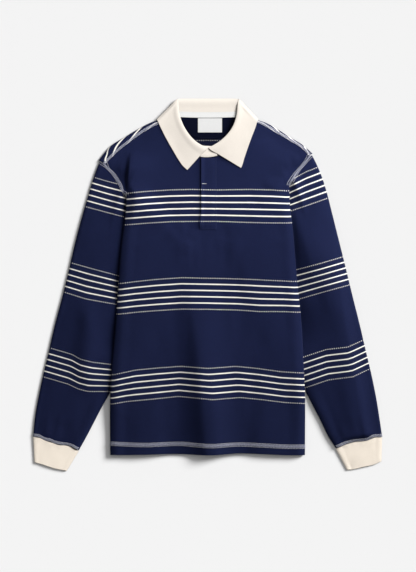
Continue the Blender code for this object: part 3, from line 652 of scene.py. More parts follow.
def twillWeave(cloth, pitch):
    # height and shade of a fine slanting weave
    across, down, _ = split(cloth)
    rib = mulAdd(sine(div(add(across, mul(down, 0.8)), pitch)), 0.5, 0.5)
    step = div(sub(down, mul(across, 0.3)), pitch)
    pick = mulAdd(calc("SINE", mul(step, 5.0)), 0.2, 0.8)
    height = mulAdd(noise(cloth, 900.0), 0.4, mul(rib, pick))
    return dict(Height=height, Shade=fade(height, 0.1, 1.2, 0.93, 1.03, "LINEAR"))


def clothTone(place, amount):
    # slow unevenness of dye and light wear, as a factor round 1
    both = add(mul(noise(place, 9.0, 3.0, 0.5), 0.7), mul(noise(place, 160.0, 3.0, 0.65), 0.6))
    return dict(Tone=mulAdd(sub(both, 0.65), amount, 1.0))


def neckShade(place, low):
    # painted shade: the inside of the back, low in the neck opening, is coloured darker than the rest,
    # standing in for the collar's shadow
    x, y, z = split(place)
    up = split(addNode(place.id_data, "ShaderNodeNewGeometry")["Normal"])[2]
    inside = fade(calc("ABSOLUTE", x), 0.055, 0.075, 1.0, 0.0)
    for part in (fade(y, 0.250, 0.262), below(z, low), above(up, 0.0)):
        inside = mul(inside, part)
    return dict(Shade=mulAdd(inside, -0.55, 1.0))


groups = dict(
    stripe=shaderGroup("stripeLines", stripeMask, Cloth="Vector", Wander=0.0003),
    knit=shaderGroup("knitLoops", knitLoops, Cloth="Vector", Wale=0.00115, Course=0.00095, Slant=0.9),
    twill=shaderGroup("twillWeave", twillWeave, Cloth="Vector", Pitch=0.0007),
    tone=shaderGroup("clothTone", clothTone, Place="Vector", Amount=0.1),
    neck=shaderGroup("neckShade", neckShade, Place="Vector", Low=0.0075))

# What a finish has where it doesn't say otherwise.
plain = dict(tone=0.2, rough=0.6, gloss=0.12, relief=0.6, sheen=0.1, sheenRough=0.4, sheenTint=(1, 1, 1))
finishes = dict(
    navyJersey=dict(colour=(0.0082, 0.0128, 0.0505), line=(0.97, 0.935, 0.87), face="knit", tone=0.30,
                    bump=0.00022, rough=0.9, sheen=0.05, sheenTint=(0.45, 0.55, 1.0)),
    # painted shade: the facing is the same navy jersey, coloured darker for the shade inside the neck
    navyFacing=dict(colour=(0.0060, 0.0088, 0.032), face="knit", tone=0.30, bump=0.00022, rough=0.95,
                    sheen=0.0, sheenTint=(0.45, 0.55, 1.0)),
    creamTwill=dict(colour=(0.860, 0.794, 0.716), face="twill", tone=0.07, bump=0.00012, rough=0.82,
                    sheen=0.05, sheenRough=0.5, sheenTint=(1, 0.95, 0.88)),
    creamRib=dict(colour=(0.840, 0.754, 0.648), face="knit", tone=0.10, bump=0.00022, rough=0.88,
                  sheen=0.08, sheenRough=0.5, sheenTint=(1, 0.95, 0.88)),
    whiteTape=dict(colour=(0.83, 0.83, 0.82), face="twill", tone=0.05, bump=0.0001, rough=0.75, sheen=0.03,
                   sheenRough=0.5),
    labelSatin=dict(colour=(0.77, 0.77, 0.765), face="twill", tone=0.05, bump=0.00006, rough=0.5, sheen=0.05,
                    sheenRough=0.3),
    rowThread=dict(colour=(0.74, 0.75, 0.83)),
    seamThread=dict(colour=(0.42, 0.43, 0.54), tone=0.25),
    creamThread=dict(colour=(0.80, 0.72, 0.61), tone=0.15),
    navyThread=dict(colour=(0.014, 0.019, 0.06), tone=0.3, rough=0.55, sheen=0.15, sheenTint=(0.7, 0.75, 1)),
    whiteThread=dict(colour=(0.85, 0.84, 0.82), tone=0.1),
)


def makeFinish(name):
    look = dict(plain, **finishes[name])
    made = bpy.data.materials.new(name)
    made.use_nodes = True
    tree = made.node_tree
    shader = tree.nodes["Principled BSDF"].inputs
    place = addNode(tree, "ShaderNodeTexCoord")

    def use(word, **inputs):
        return addNode(tree, "ShaderNodeGroup", inputs, node_tree=groups[word])

    tone = use("tone", Place=place["Object"], Amount=look["tone"])
    colour = shaded(look["colour"], tone["Tone"])
    if "face" in look:
        face = use(look["face"], Cloth=place["UV"])
        colour, height = shaded(colour, face["Shade"]), face["Height"]
        if "line" in look:
            lines = use("stripe", Cloth=place["UV"])
            colour = mix(lines["Line"], colour, shaded(look["line"], face["Shade"]))
            height = mulAdd(lines["Dash"], 1.2, height)
            # painted shade darkens the back's cloth low in the neck opening
            colour = shaded(colour, use("neck", Place=place["Object"])["Shade"])
        relief = dict(Strength=look["relief"], Distance=look["bump"], Height=height)
        bump = addNode(tree, "ShaderNodeBump", relief)
        tree.links.new(bump["Normal"], shader["Normal"])
    tree.links.new(colour, shader["Base Color"])
    for label, value in (("Roughness", look["rough"]), ("Specular IOR Level", look["gloss"]),
                         ("Sheen Weight", look["sheen"]), ("Sheen Roughness", look["sheenRough"]),
                         ("Sheen Tint", (*look["sheenTint"], 1.0))):
        shader[label].default_value = value
    return made


finish = {name: makeFinish(name) for name in finishes}
print("materials made")


def link(name, mesh, material):
    item = bpy.data.objects.new(name, mesh)
    bpy.context.scene.collection.objects.link(item)
    mesh.materials.clear()
    mesh.materials.append(material)
    return item


def shell(name, net, thick, material, across, down, keep=None, lip=0.35):
    # a closed cloth of even thickness on both sides of a net, its raw edges rounded
    rows, cols = net.shape[:2]
    count = rows * cols
    if keep is None:
        keep = np.ones((rows - 1, cols - 1), bool)
    index = np.arange(count).reshape(rows, cols)
    i, j = np.nonzero(keep)
    face = np.column_stack([index[i, j], index[i, j + 1], index[i + 1, j + 1], index[i + 1, j]])
    edges = np.concatenate([face[:, [k, (k + 1) % 4]] for k in range(4)])
    code, back = edges[:, 0] * count + edges[:, 1], edges[:, 1] * count + edges[:, 0]
    rim = edges[~np.isin(code, back)]
    up = normals(net).reshape(-1, 3)
    flat = net.reshape(-1, 3)
    away = np.zeros_like(flat)
    outward = unit(np.cross(flat[rim[:, 1]] - flat[rim[:, 0]], up[rim[:, 0]]))
    np.add.at(away, rim[:, 0], outward)
    np.add.at(away, rim[:, 1], outward)
    points = [flat + up * thick / 2, flat - up * thick / 2, flat + unit(away) * thick * lip]
    points = np.concatenate(points) + centre
    points[:, 2] = np.maximum(points[:, 2], 0.0)
    p, q = rim[:, 0], rim[:, 1]
    faces = np.concatenate([
        face, face[:, ::-1] + count,
        np.column_stack([q, p, p + 2 * count, q + 2 * count]),
        np.column_stack([q + 2 * count, p + 2 * count, p + count, q + count])])
    used = np.unique(faces)
    place = np.full(3 * count, -1)
    place[used] = np.arange(len(used))
    mesh = bpy.data.meshes.new(name)
    mesh.from_pydata((points[used] * mm).tolist(), [], place[faces].tolist())
    mesh.update()
    corner = (used[place[faces]] % count).ravel()
    uv = [np.broadcast_to(run, net.shape[:2]).ravel()[corner] for run in (across, down)]
    mesh.uv_layers.new(name="cloth").data.foreach_set("uv", (np.column_stack(uv) * mm).ravel())
    mesh.polygons.foreach_set("use_smooth", np.ones(len(faces), bool))
    # the cloth's faces meet its raw edges crisply
    ends = np.zeros(len(mesh.edges) * 2, int)
    mesh.edges.foreach_get("vertices", ends)
    ends = np.sort(used[ends.reshape(-1, 2)], axis=1).tolist()
    border = {(min(a, b), max(a, b)) for a, b in rim.tolist()}
    sharp = np.array([(a, b) in border or (a - count, b - count) in border for a, b in ends])
    made = mesh.attributes.get("sharp_edge") or mesh.attributes.new("sharp_edge", "BOOLEAN", "EDGE")
    made.data.foreach_set("value", sharp)
    mesh.update()
    return link(name, mesh, material)


def insetLine(net, axis, distance, lift, fromEnd=False, pick=slice(None)):
    # a line on the cloth's outer face a distance in from an edge, and the way out of the cloth along it
    lines, ups = np.moveaxis(net, axis, 0), np.moveaxis(normals(net), axis, 0)
    if fromEnd:
        lines, ups = lines[::-1], ups[::-1]
    lines, ups = lines[:, pick], ups[:, pick]
    run = arcRun(lines)
    k = np.clip(np.argmax(run > distance, axis=0), 1, None)
    m = np.arange(lines.shape[1])
    t = ((distance - run[k - 1, m]) / np.maximum(run[k, m] - run[k - 1, m], 1e-6))[:, None]
    up = unit(ups[k - 1, m] * (1 - t) + ups[k, m] * t)
    return lines[k - 1, m] * (1 - t) + lines[k, m] * t + up * lift, up


def stitchTree():
    # a Geometry Nodes tree that lays short threads along a line, each turned by an angle to it
    tree = bpy.data.node_groups.new("threadStitches", "GeometryNodeTree")
    addSockets(tree, "INPUT", Geometry="Geometry", Spacing=0.003, Length=0.002, Thread=0.0003, Turn=0.0,
               Seed=4, Material="Material")
    addSockets(tree, "OUTPUT", Geometry="Geometry")
    given = addNode(tree, "NodeGroupInput")

    def vary(low, high):
        inputs = {2: low, 3: high, "Seed": given["Seed"]}
        return addNode(tree, "FunctionNodeRandomValue", inputs, data_type="FLOAT")[1]

    curve = addNode(tree, "GeometryNodeMeshToCurve", dict(Mesh=given["Geometry"]))
    spots = addNode(tree, "GeometryNodeResampleCurve", dict(Curve=curve["Curve"], Length=given["Spacing"]),
                    mode="LENGTH")
    up = addNode(tree, "GeometryNodeInputNamedAttribute", dict(Name="up"), data_type="FLOAT_VECTOR")
    ahead = addNode(tree, "GeometryNodeInputTangent")
    axes = {"Primary Axis": up["Attribute"], "Secondary Axis": ahead["Tangent"]}
    axes = addNode(tree, "FunctionNodeAxesToRotation", axes, primary_axis="Z", secondary_axis="X")
    # every other stitch leans the other way
    sign = mulAdd(calc("FLOORED_MODULO", addNode(tree, "GeometryNodeInputIndex")[0], 2.0), 2.0, -1.0)
    angle = add(mul(sign, given["Turn"]), vary(-0.12, 0.12))
    euler = addNode(tree, "ShaderNodeCombineXYZ", dict(Z=angle))
    spin = addNode(tree, "FunctionNodeEulerToRotation", {0: euler[0]})
    turned = addNode(tree, "FunctionNodeRotateRotation", {"Rotation": axes[0], "Rotate By": spin[0]},
                     rotation_space="LOCAL")
    halfLong = mul(mul(given["Length"], vary(0.92, 1.08)), 0.5)
    size = addNode(tree, "ShaderNodeCombineXYZ", dict(X=halfLong, Y=given["Thread"], Z=given["Thread"]))
    bead = addNode(tree, "GeometryNodeMeshUVSphere", dict(Segments=6, Rings=5))
    laid = addNode(tree, "GeometryNodeInstanceOnPoints", dict(Points=spots["Curve"], Instance=bead["Mesh"],
                                                              Rotation=turned[0], Scale=size[0]))
    real = addNode(tree, "GeometryNodeRealizeInstances", {0: laid[0]})
    paint = addNode(tree, "GeometryNodeSetMaterial", dict(Geometry=real[0], Material=given["Material"]))
    addNode(tree, "NodeGroupOutput", dict(Geometry=paint[0]))
    return tree


stitches = stitchTree()


def sew(name, paths, finishName, spacing, length, thread, turn=0.0, seed=4):
    # one piece of stitching along several lines of (points, ways out), all in millimetres
    points, ups, edges = [], [], []
    for line, up in paths:
        start = len(points)
        points += ((line + centre) * mm).tolist()
        ups += up.tolist()
        edges += [(start + k, start + k + 1) for k in range(len(line) - 1)]
    mesh = bpy.data.meshes.new(name)
    mesh.from_pydata(points, edges, [])
    made = mesh.attributes.new("up", "FLOAT_VECTOR", "POINT")
    made.data.foreach_set("vector", np.array(ups, np.float32).ravel())
    item = link(name, mesh, finish[finishName])
    mod = item.modifiers.new("stitches", "NODES")
    mod.node_group = stitches
    values = dict(Spacing=spacing, Length=length, Thread=thread, Turn=turn, Seed=seed,
                  Material=finish[finishName])
    for socket in stitches.interface.items_tree:
        if socket.in_out == "INPUT" and socket.name in values:
            mod[socket.identifier] = values[socket.name]
    shown = item.evaluated_get(bpy.context.evaluated_depsgraph_get())
    made = bpy.data.meshes.new_from_object(shown)
    item.modifiers.clear()
    item.data = made
    bpy.data.meshes.remove(mesh)
    made.name = name
    spots = np.zeros(len(made.vertices) * 3)
    made.vertices.foreach_get("co", spots)
    spots[2::3] = np.maximum(spots[2::3], 0.0)
    made.vertices.foreach_set("co", spots)
    if "up" in made.attributes:
        made.attributes.remove(made.attributes["up"])
    made.polygons.foreach_set("use_smooth", np.ones(len(made.polygons), bool))
    made.update()
    return item


coverStitch = dict(gap=3.3, needle=0.0029, needlePitch=0.0032, looper=0.0074, looperPitch=0.0011, lean=1.02,
                   thread=0.00046, looperThread=0.00040, hemBack=19.5,
                   # how far the seam lies from the hem across the front: X, distance
                   hemFront=[(-204.8, 23.5), (-125.6, 19.8), (-56.9, 21), (3.5, 19), (78, 18.2), (149, 17.6),
                             (201, 17.5)])
# Plain rows: finish, spacing, length and half thickness in metres.
plainStitch = dict(
    collar_stitch=("creamThread", 0.0030, 0.0024, 0.00026),
    placket_stitch=("navyThread", 0.0030, 0.0025, 0.00028),
    placket_bar=("whiteThread", 0.00055, 0.0016, 0.00024),
    half_moon_stitch=("navyThread", 0.0030, 0.0025, 0.00026),
    neck_tape_stitch=("whiteThread", 0.0028, 0.0022, 0.0002),
    neck_label_stitch=("whiteThread", 0.0026, 0.0020, 0.00018))


def plainSeam(name, lines, **more):
    return sew(name, lines, *plainStitch[name], **more)


def coverSeam(name, edges, wide=1.0, proud=0.0):
    # two rows of needle stitches with threads crossing between them, along pairs of lines
    rows, middle = [], []
    for (a, upA), (b, upB) in edges:
        rows += [(a, upA), (b, upB)]
        middle.append(((a + b) / 2 + unit(upA + upB) * proud, unit(upA + upB)))
    c = coverStitch
    return [sew(name + "_rows", rows, "rowThread", c["needlePitch"], c["needle"], c["thread"], seed=5),
            sew(name + "_loops", middle, "seamThread", c["looperPitch"], c["looper"] * wide,
                c["looperThread"], c["lean"], 7)]


pieces, sewn = {}, {}
lift = cloth["jersey"] / 2 + 0.12   # of a stitch over the middle of the cloth
# The hem edge rises and falls a little: X, Y.
hemLine = [(-225.6, -350.8), (-152.7, -350.8), (-56.9, -348.7), (3.5, -351.6), (66, -347.4), (109.8, -348.9),
           (174.3, -351.4), (222.3, -350.2)]


def hemWave(x, y):
    return (through(hemLine, x) - body["hem"]) * smooth((-300 - y) / 50.0)


def clothDown(net, rowKeys, colKeys, neck=False):
    # the cloth's level all over a body net; the turned-in sides keep the level of their fold
    low, high = nearest(colKeys, edge), nearest(colKeys, colKeys[-1] - edge)
    down = level(net[..., 0], net[..., 1], "body", neck)
    sides = rowKeys <= footRow
    down[sides, :low] = down[sides, low][:, None]
    down[sides, high + 1:] = down[sides, high][:, None]
    return down


def cutAway(rowKeys, row, columns):
    # which cells of a net stay where some columns end at a row
    return ~((np.floor(rowKeys[:-1])[:, None] >= row) & columns[None, :])


front, frontRow, frontCol = fine(bodyNet("front"), body["stepFront"], body["stepFront"])
onTop = smooth(frontCol - edge + 1.0) * smooth(frontCol[-1] - edge + 1.0 - frontCol)
onTop = np.where(frontRow[:, None] > footRow, 1.0, onTop[None, :])
x, y = front[..., 0].copy(), front[..., 1].copy()
front[..., 2] += onTop * frontRise(x, y)
front[..., 1] += hemWave(x, y)
column = np.floor(frontCol[:-1])
slotCells = (column == middleColumn - 1) | (column == middleColumn)
run = arcRun(front, 1, nearest(frontCol, middleColumn))
pieces["front"] = shell("front_cloth", front, cloth["jersey"], finish["navyJersey"], run,
                        clothDown(front, frontRow, frontCol), cutAway(frontRow, body["slotLevel"], slotCells))
print("front", front.shape)

back = bodyNet("back")
top, extra, roll = back[-1], [], body["shoulderRoll"]
# at the shoulders the back rolls over by these degrees, and then runs to the forward seam
for angle in (60, 120, 180, None):
    row = top.copy()
    for s in (-1, 1):
        pick = slice(0, shoulderEnd + 1) if s < 0 else slice(len(top) - 1, len(top) - shoulderEnd - 2, -1)
        line = along(shoulderLine[s], np.linspace(0, 1, shoulderEnd + 1))
        if angle is None:
            row[pick, :2] = line + inward(s, "seam")
            row[pick, 2] = top[pick, 2] + 2 * roll
        else:
            a = np.radians(angle)
            row[pick, :2] = line + inward(s, roll * (1 - np.sin(a)) + cloth["jersey"] / 2)
            row[pick, 2] = top[pick, 2] + roll * (1 - np.cos(a))
    extra.append(row)
back, backRow, backCol = fine(np.concatenate([back, np.array(extra)]), body["stepBack"], body["stepBack"])
x, y = back[..., 0].copy(), back[..., 1].copy()
inner = smooth((60.0 - np.abs(x)) / 40.0) * smooth((250.0 - y) / 30.0)
back[..., 2] += inner * np.maximum(folds("back", x, y), 0.0)
back[..., 1] += hemWave(x, y)
down = clothDown(back, backRow, backCol, True)
# over the shoulder the level runs on from the outline to the seam
wrapRows = [topRow, topRow + 1, topRow + 1.5, topRow + 2, topRow + 3, topRow + 4]
wrap = np.interp(backRow, wrapRows, [-0.26, -0.09, 0, 0.09, 0.28, 1])[:, None]
outline, seam = [], []
for s, columns in ((-1, backCol), (1, backCol[-1] - backCol)):
    share = np.clip(columns / shoulderEnd, 0, 1)
    line = along(shoulderLine[s], share)
    outline.append(level(line[:, 0], line[:, 1], "body", True))
    seam.append(through(shoulderLevels[s], share))
left = backCol < middleColumn
# near the tip the group's outermost dashed line stays out of sight
outline = np.minimum(np.where(left, *outline), neckGroup["tip"])[None, :]
seam = np.where(left, *seam)[None, :]
down = np.where(backRow[:, None] > topRow, outline * (1 - wrap) + seam * wrap, down)
column = np.floor(backCol[:-1])
neckCells = (column >= shoulderEnd) & (column < backCol[-1] - shoulderEnd)
run = arcRun(back, 1, nearest(backCol, middleColumn))
pieces["back"] = shell("back_cloth", back, cloth["jersey"], finish["navyJersey"], run, down,
                       cutAway(backRow, topRow, neckCells))
print("back", back.shape)


sleeve = dict(
    step=3.2, innerLoft=5.6, shoulder={-1: 1.6, 1: 3.2}, uneven=0.2, unevenSize=42, endFade=0.16,
    # degrees that each layer goes round the fold at the inner edge; columns under the body as shares
    curl=72, hidden=[0, 0.33, 0.66, 0.91],
    down=[0, 0.03, 0.075, 0.14, 0.22, 0.31, 0.4, 0.5, 0.6, 0.7, 0.79, 0.87, 0.94, 1],
    # height of the upper layer over the lower one: share down, middle, outer edge
    loft={-1: [(0, 2.4, 2.2), (0.2, 6.6, 2.0), (0.5, 8.2, 1.9), (0.8, 7.0, 2.0), (1, 3.9, 2.0)],
          1: [(0, 2.4, 2.2), (0.12, 8.5, 2.4), (0.25, 11.5, 2.8), (0.42, 9.5, 2.6), (0.6, 8.4, 2.4),
              (0.8, 7.0, 2.4), (1, 3.9, 2.0)]},
    # edges in the plan, armpit or shoulder tip to the cuff seam: X, Y
    outer={
        -1: [(-228.1, 262.9), (-237.5, 238.5), (-252.8, 188.5), (-267, 138.5), (-279.8, 88.5), (-291.1, 38.5),
             (-303, -11.5), (-316.8, -61.4), (-327.4, -111.4), (-340.1, -161.4), (-350.5, -211.4),
             (-360.3, -261.4), (-365.3, -310.4)],
        1: [(217.3, 276), (229.8, 251), (247, 201), (259.7, 151), (272.1, 101), (284.4, 51), (299.3, -11.5),
            (311.8, -61.4), (323.2, -111.4), (335, -161.4), (346, -211.4), (354.4, -261.4), (361.6, -311.4)]},
    inner={
        -1: [(-67.3, 96.9), (-96.4, 11.5), (-131.9, -69.8), (-169.3, -148.9), (-203.3, -220.8),
             (-226.3, -261.4), (-245.0, -298.9), (-268.2, -340.6)],
        1: [(67.3, 105.2), (95.2, 21.9), (130.6, -61.4), (164.9, -144.8), (202.5, -222), (229.5, -273.9),
            (247.5, -311.4), (263.3, -335.6)]},
)
cuff = dict(
    # the cuff seam and the free end of the cuff, inner to outer: X, Y
    seam={-1: [(-269.2, -342.0), (-285, -334.5), (-299.3, -330.2), (-315.6, -330.2), (-328.7, -323.7),
               (-342.9, -320.4), (-352.6, -314.9), (-365.1, -312.7)],
          1: [(265.2, -337.4), (285.4, -329.3), (309.7, -323.1), (332.2, -321), (342, -315.6),
              (362.2, -313.5)]},
    end={-1: [(-294.2, -383.9), (-321, -378.3), (-348.3, -369.5), (-362.4, -365.6)],
         1: [(288.5, -382), (299.1, -381), (322.2, -375.6), (349.1, -369.3), (360.8, -363.9)]},
    loft=[(0, 5.4), (0.12, 4.7), (0.5, 4.3), (1, 3.8)],
    rib=2.4, ribHigh=0.26, columns=8, stepAhead=3.0, stepAcross=0.6,
)
# The sleeve's net has a column at the turned-in end first, then its upper layer from the armpit to the
# outer fold: the column at the body's fold, and the last one of that layer.
kneeColumn = len(sleeve["hidden"]) + 1
outerColumn = kneeColumn + len(body["rises"])


def armholeLine(side):
    # the sleeve's end of the armhole seam: armpit, fold, shoulder tip
    pit, top = sleeve["inner"][side][0], armhole[side]
    knee = (side * (abs(top[0][0]) + 3.5), top[0][1] - 1.5)
    low = [np.asarray(pit) * (1 - t) + np.asarray(knee) * t for t in (0, 0.33, 0.66)]
    ahead = np.gradient(np.asarray(top, float), axis=0)
    out = unit(side * np.column_stack([ahead[:, 1], -ahead[:, 0]]))
    rest = [np.asarray(p) + 1.2 * n for p, n in zip(top, out)][1:]
    return np.array(low + [knee] + rest[1:])


def foldShare(side):
    # the share of the armhole's length that lies under the body
    gaps = np.linalg.norm(np.diff(armholeLine(side), axis=0), axis=1)
    return gaps[:3].sum() / gaps.sum()


def sleevePlan(side, share, column):
    # a point of the sleeve in the plan: share down its length, column share across
    end = along(armholeLine(side), column)
    wrist = along(cuff["seam"][side], column) + (0.0, cloth["seam"] + 0.6)
    inner, outer = sleeve["inner"][side], sleeve["outer"][side]
    flat = (1 - share) * end + share * wrist
    flat = flat + (1 - column) * along(inner, share) + column * along(outer, share)
    corners = (1 - share) * ((1 - column) * along(inner, 0.0) + column * along(outer, 0.0))
    return flat - corners - share * ((1 - column) * along(inner, 1.0) + column * along(outer, 1.0))


def clearOfBody(side, x, y):
    # 0 under the body, 1 a little way outside its side
    narrow = 6.0 + 2.0 * smooth((foldTop[side] - y) / 90.0)
    low = smooth((side * x - half(sideFold[side], y) - 1.5) / narrow)
    high = smooth((side * x - half(sideFold[side], foldTop[side]) + 4) / 20.0)
    return np.where(y < foldTop[side] + 30, low, high)


def sleeveHeights(side, share, column, x, y):
    # middle heights of the sleeve's lower and upper layer at a point
    middle, outer = through(sleeve["loft"][side], share)
    c = np.clip(column, 0, 1)
    dome = np.sin(np.pi * c ** 0.8)
    # beside the body it stands highest there and falls to the outer edge
    past = side * x - half(sideFold[side], y)
    room = np.linalg.norm(along(sleeve["outer"][side], share) - np.array([x, y]))
    beside = (1 - np.clip(past / (past + room + 1e-6), 0, 1) ** sleeve["shoulder"][side]) ** 0.85
    free = smooth((side * along(sleeve["inner"][side], share)[0] - half(sideFold[side], y) + 30.0) / 60.0)
    low = cloth["jersey"] / 2
    rise = outer * smooth((c - 0.5) / 0.5) + (middle - 0.5) * (beside * (1 - free) + dome * free)
    rise = rise + sleeve["innerLoft"] * free * (1 - smooth(c / 0.4))
    return low, low + pitch + rise * clearOfBody(side, x, y)


def sleeveNet(side):
    knee = foldShare(side)
    columns = [c * knee for c in sleeve["hidden"]] + [knee + (1 - knee) * c for c in [0] + body["rises"]]
    rows = []
    for share in sleeve["down"]:
        fade = 1 - smooth(share / sleeve["endFade"])
        plan = [sleevePlan(side, share, c) for c in columns]
        heights = []
        for c, (x, y) in zip(columns, plan):
            low, high = sleeveHeights(side, share, c, x, y)
            # at its end the sleeve is as high as the body it is sewn to
            ex, ey = along(armholeLine(side), c)
            onTop = smooth((c - knee) / 0.045)
            end = sleeveHeights(side, 0.0, c, ex, ey)[1]
            high = high + fade * max(onTop * zFront(ex, ey) - end, 0.0)
            low = low + fade * onTop * (zBack(ex, ey) - cloth["jersey"] / 2)
            heights.append((low, max(high, low + pitch)))
        cross = unit(np.array(plan[-1]) - np.array(plan[0]))
        innerR, outerR = (heights[0][1] - heights[0][0]) / 2, (heights[-1][1] - heights[-1][0]) / 2
        spots = []
        for c, p in zip(columns, plan):
            move = (1 - c) ** 6 * (innerR + cloth["jersey"] / 2) - c ** 6 * (outerR + cloth["jersey"] / 2)
            spots.append(np.array(p) + cross * move)
        midIn, midOut = sum(heights[0]) / 2, sum(heights[-1]) / 2
        curl = np.radians(sleeve["curl"])
        row = [(*(spots[0] - cross * innerR * np.sin(curl)), midIn + innerR * np.cos(curl))]
        row += [(*p, h[1]) for p, h in zip(spots, heights)]
        for a in np.radians((60, 120)):
            row.append((*(spots[-1] + cross * outerR * np.sin(a)), midOut + outerR * np.cos(a)))
        row += [(*p, h[0]) for p, h in zip(spots[::-1], heights[::-1])]
        row.append((*(spots[0] - cross * innerR * np.sin(curl)), midIn - innerR * np.cos(curl)))
        rows.append(row)
    return np.array(rows, float)


def handed(side, *arrays):
    # the left one's nets run the other way, so that the cloth's outer face is outside
    return [array[:, ::-1] if side < 0 else array for array in arrays]


sleeveNets = {}
for side, word in ((-1, "left"), (1, "right")):
    net, rowKeys, colKeys = fine(sleeveNet(side), sleeve["step"], sleeve["step"])
    x, y = net[..., 0].copy(), net[..., 1].copy()
    share = np.interp(rowKeys, np.arange(len(sleeve["down"])), sleeve["down"])[:, None]
    upper = smooth((colKeys - 1.0) / 1.5) * smooth(outerColumn + 1.0 - colKeys)
    free = clearOfBody(side, x, y) * smooth(share / 0.05)
    rise = folds(word, x, y) + sleeve["uneven"] * softNoise(x, y, sleeve["unevenSize"], 11 + side)
    net[..., 2] += upper[None, :] * free * np.maximum(rise, -2.2)
    run = arcRun(net, 1, nearest(colKeys, outerColumn + 1.5))
    net, run, down = handed(side, net, run, level(x, y, side))
    sleeveNets[side] = (net, colKeys if side > 0 else colKeys[::-1])
    pieces["sleeve_" + word] = shell("sleeve_%s_cloth" % word, net, cloth["jersey"], finish["navyJersey"],
                                     run, down)
    print("sleeve", word, net.shape)


def cuffNet(side):
    # the rib band closed into a flattened tube, its two ends meeting at the inner edge
    rows = []
    shares = np.linspace(0, 1, cuff["columns"])
    for share in (0, 0.1, 0.3, 0.55, 0.8, 1):
        tall = float(through(cuff["loft"], share))
        a = along(cuff["seam"][side], shares) - (0.0, cloth["seam"] + 0.6)
        plan = a * (1 - share) + along(cuff["end"][side], shares) * share
        cross = unit(plan[-1] - plan[0])
        low, r = cloth["rib"] / 2, 1.3 + 0.25 * (1 - share)
        plan = plan + cross * (shares[::-1, None] ** 4 - shares[:, None] ** 4) * (r + cloth["rib"] / 2)
        high = low + 2 * r + np.maximum(np.sin(np.pi * shares) ** 0.7 * (tall - 2 * r), 0)
        inner, outer = plan[0] - cross * r * 0.93, plan[-1] + cross * r * 0.866
        row = [(*inner, low + r * 1.34)]
        row += [(*p, h) for p, h in zip(plan, high)]
        row += [(*outer, low + r * 1.5), (*outer, low + r * 0.5)]
        row += [(*p, low) for p in plan[::-1]]
        row.append((*inner, low + r * 0.66))
        rows.append(row)
    return np.array(rows, float)


for side, word in ((-1, "left"), (1, "right")):
    net, rowKeys, colKeys = fine(cuffNet(side), cuff["stepAhead"], cuff["stepAcross"])
    run, down = arcRun(net, 1), arcRun(net, 0)
    share = (rowKeys / rowKeys[-1])[:, None]
    wide = run[len(rowKeys) // 2][None, :]
    ribs = 0.5 - 0.5 * np.cos(2 * np.pi * wide / cuff["rib"])
    out = normals(net)
    upper = (smooth(colKeys - 1.0) * smooth(cuff["columns"] + 1.0 - colKeys))[None, :]
    # the seam gathers it a little, and the right one's free end is pinched
    pucker = 0.35 * softNoise(wide, share * 18, 15, 21 + side) * (1 - smooth(share / 0.5))
    pucker = pucker + 0.25 * softNoise(wide, share * 40, 30, 31 + side)
    pinch = 0.0
    if side > 0:
        pinch = -1.3 * np.exp(-((net[..., 0] - 296.2) / 7) ** 2) * smooth((-350 - net[..., 1]) / 30.0)
    net = net + out * (side * (ribs * cuff["ribHigh"] - cuff["ribHigh"] / 2))[..., None]
    net[..., 2] += upper * (pucker + pinch)
    net, run, down = handed(side, net, run, down)
    pieces["cuff_" + word] = shell("cuff_%s_rib" % word, net, cloth["rib"] - 0.2, finish["creamRib"], run,
                                   down)
    print("cuff", word, net.shape)

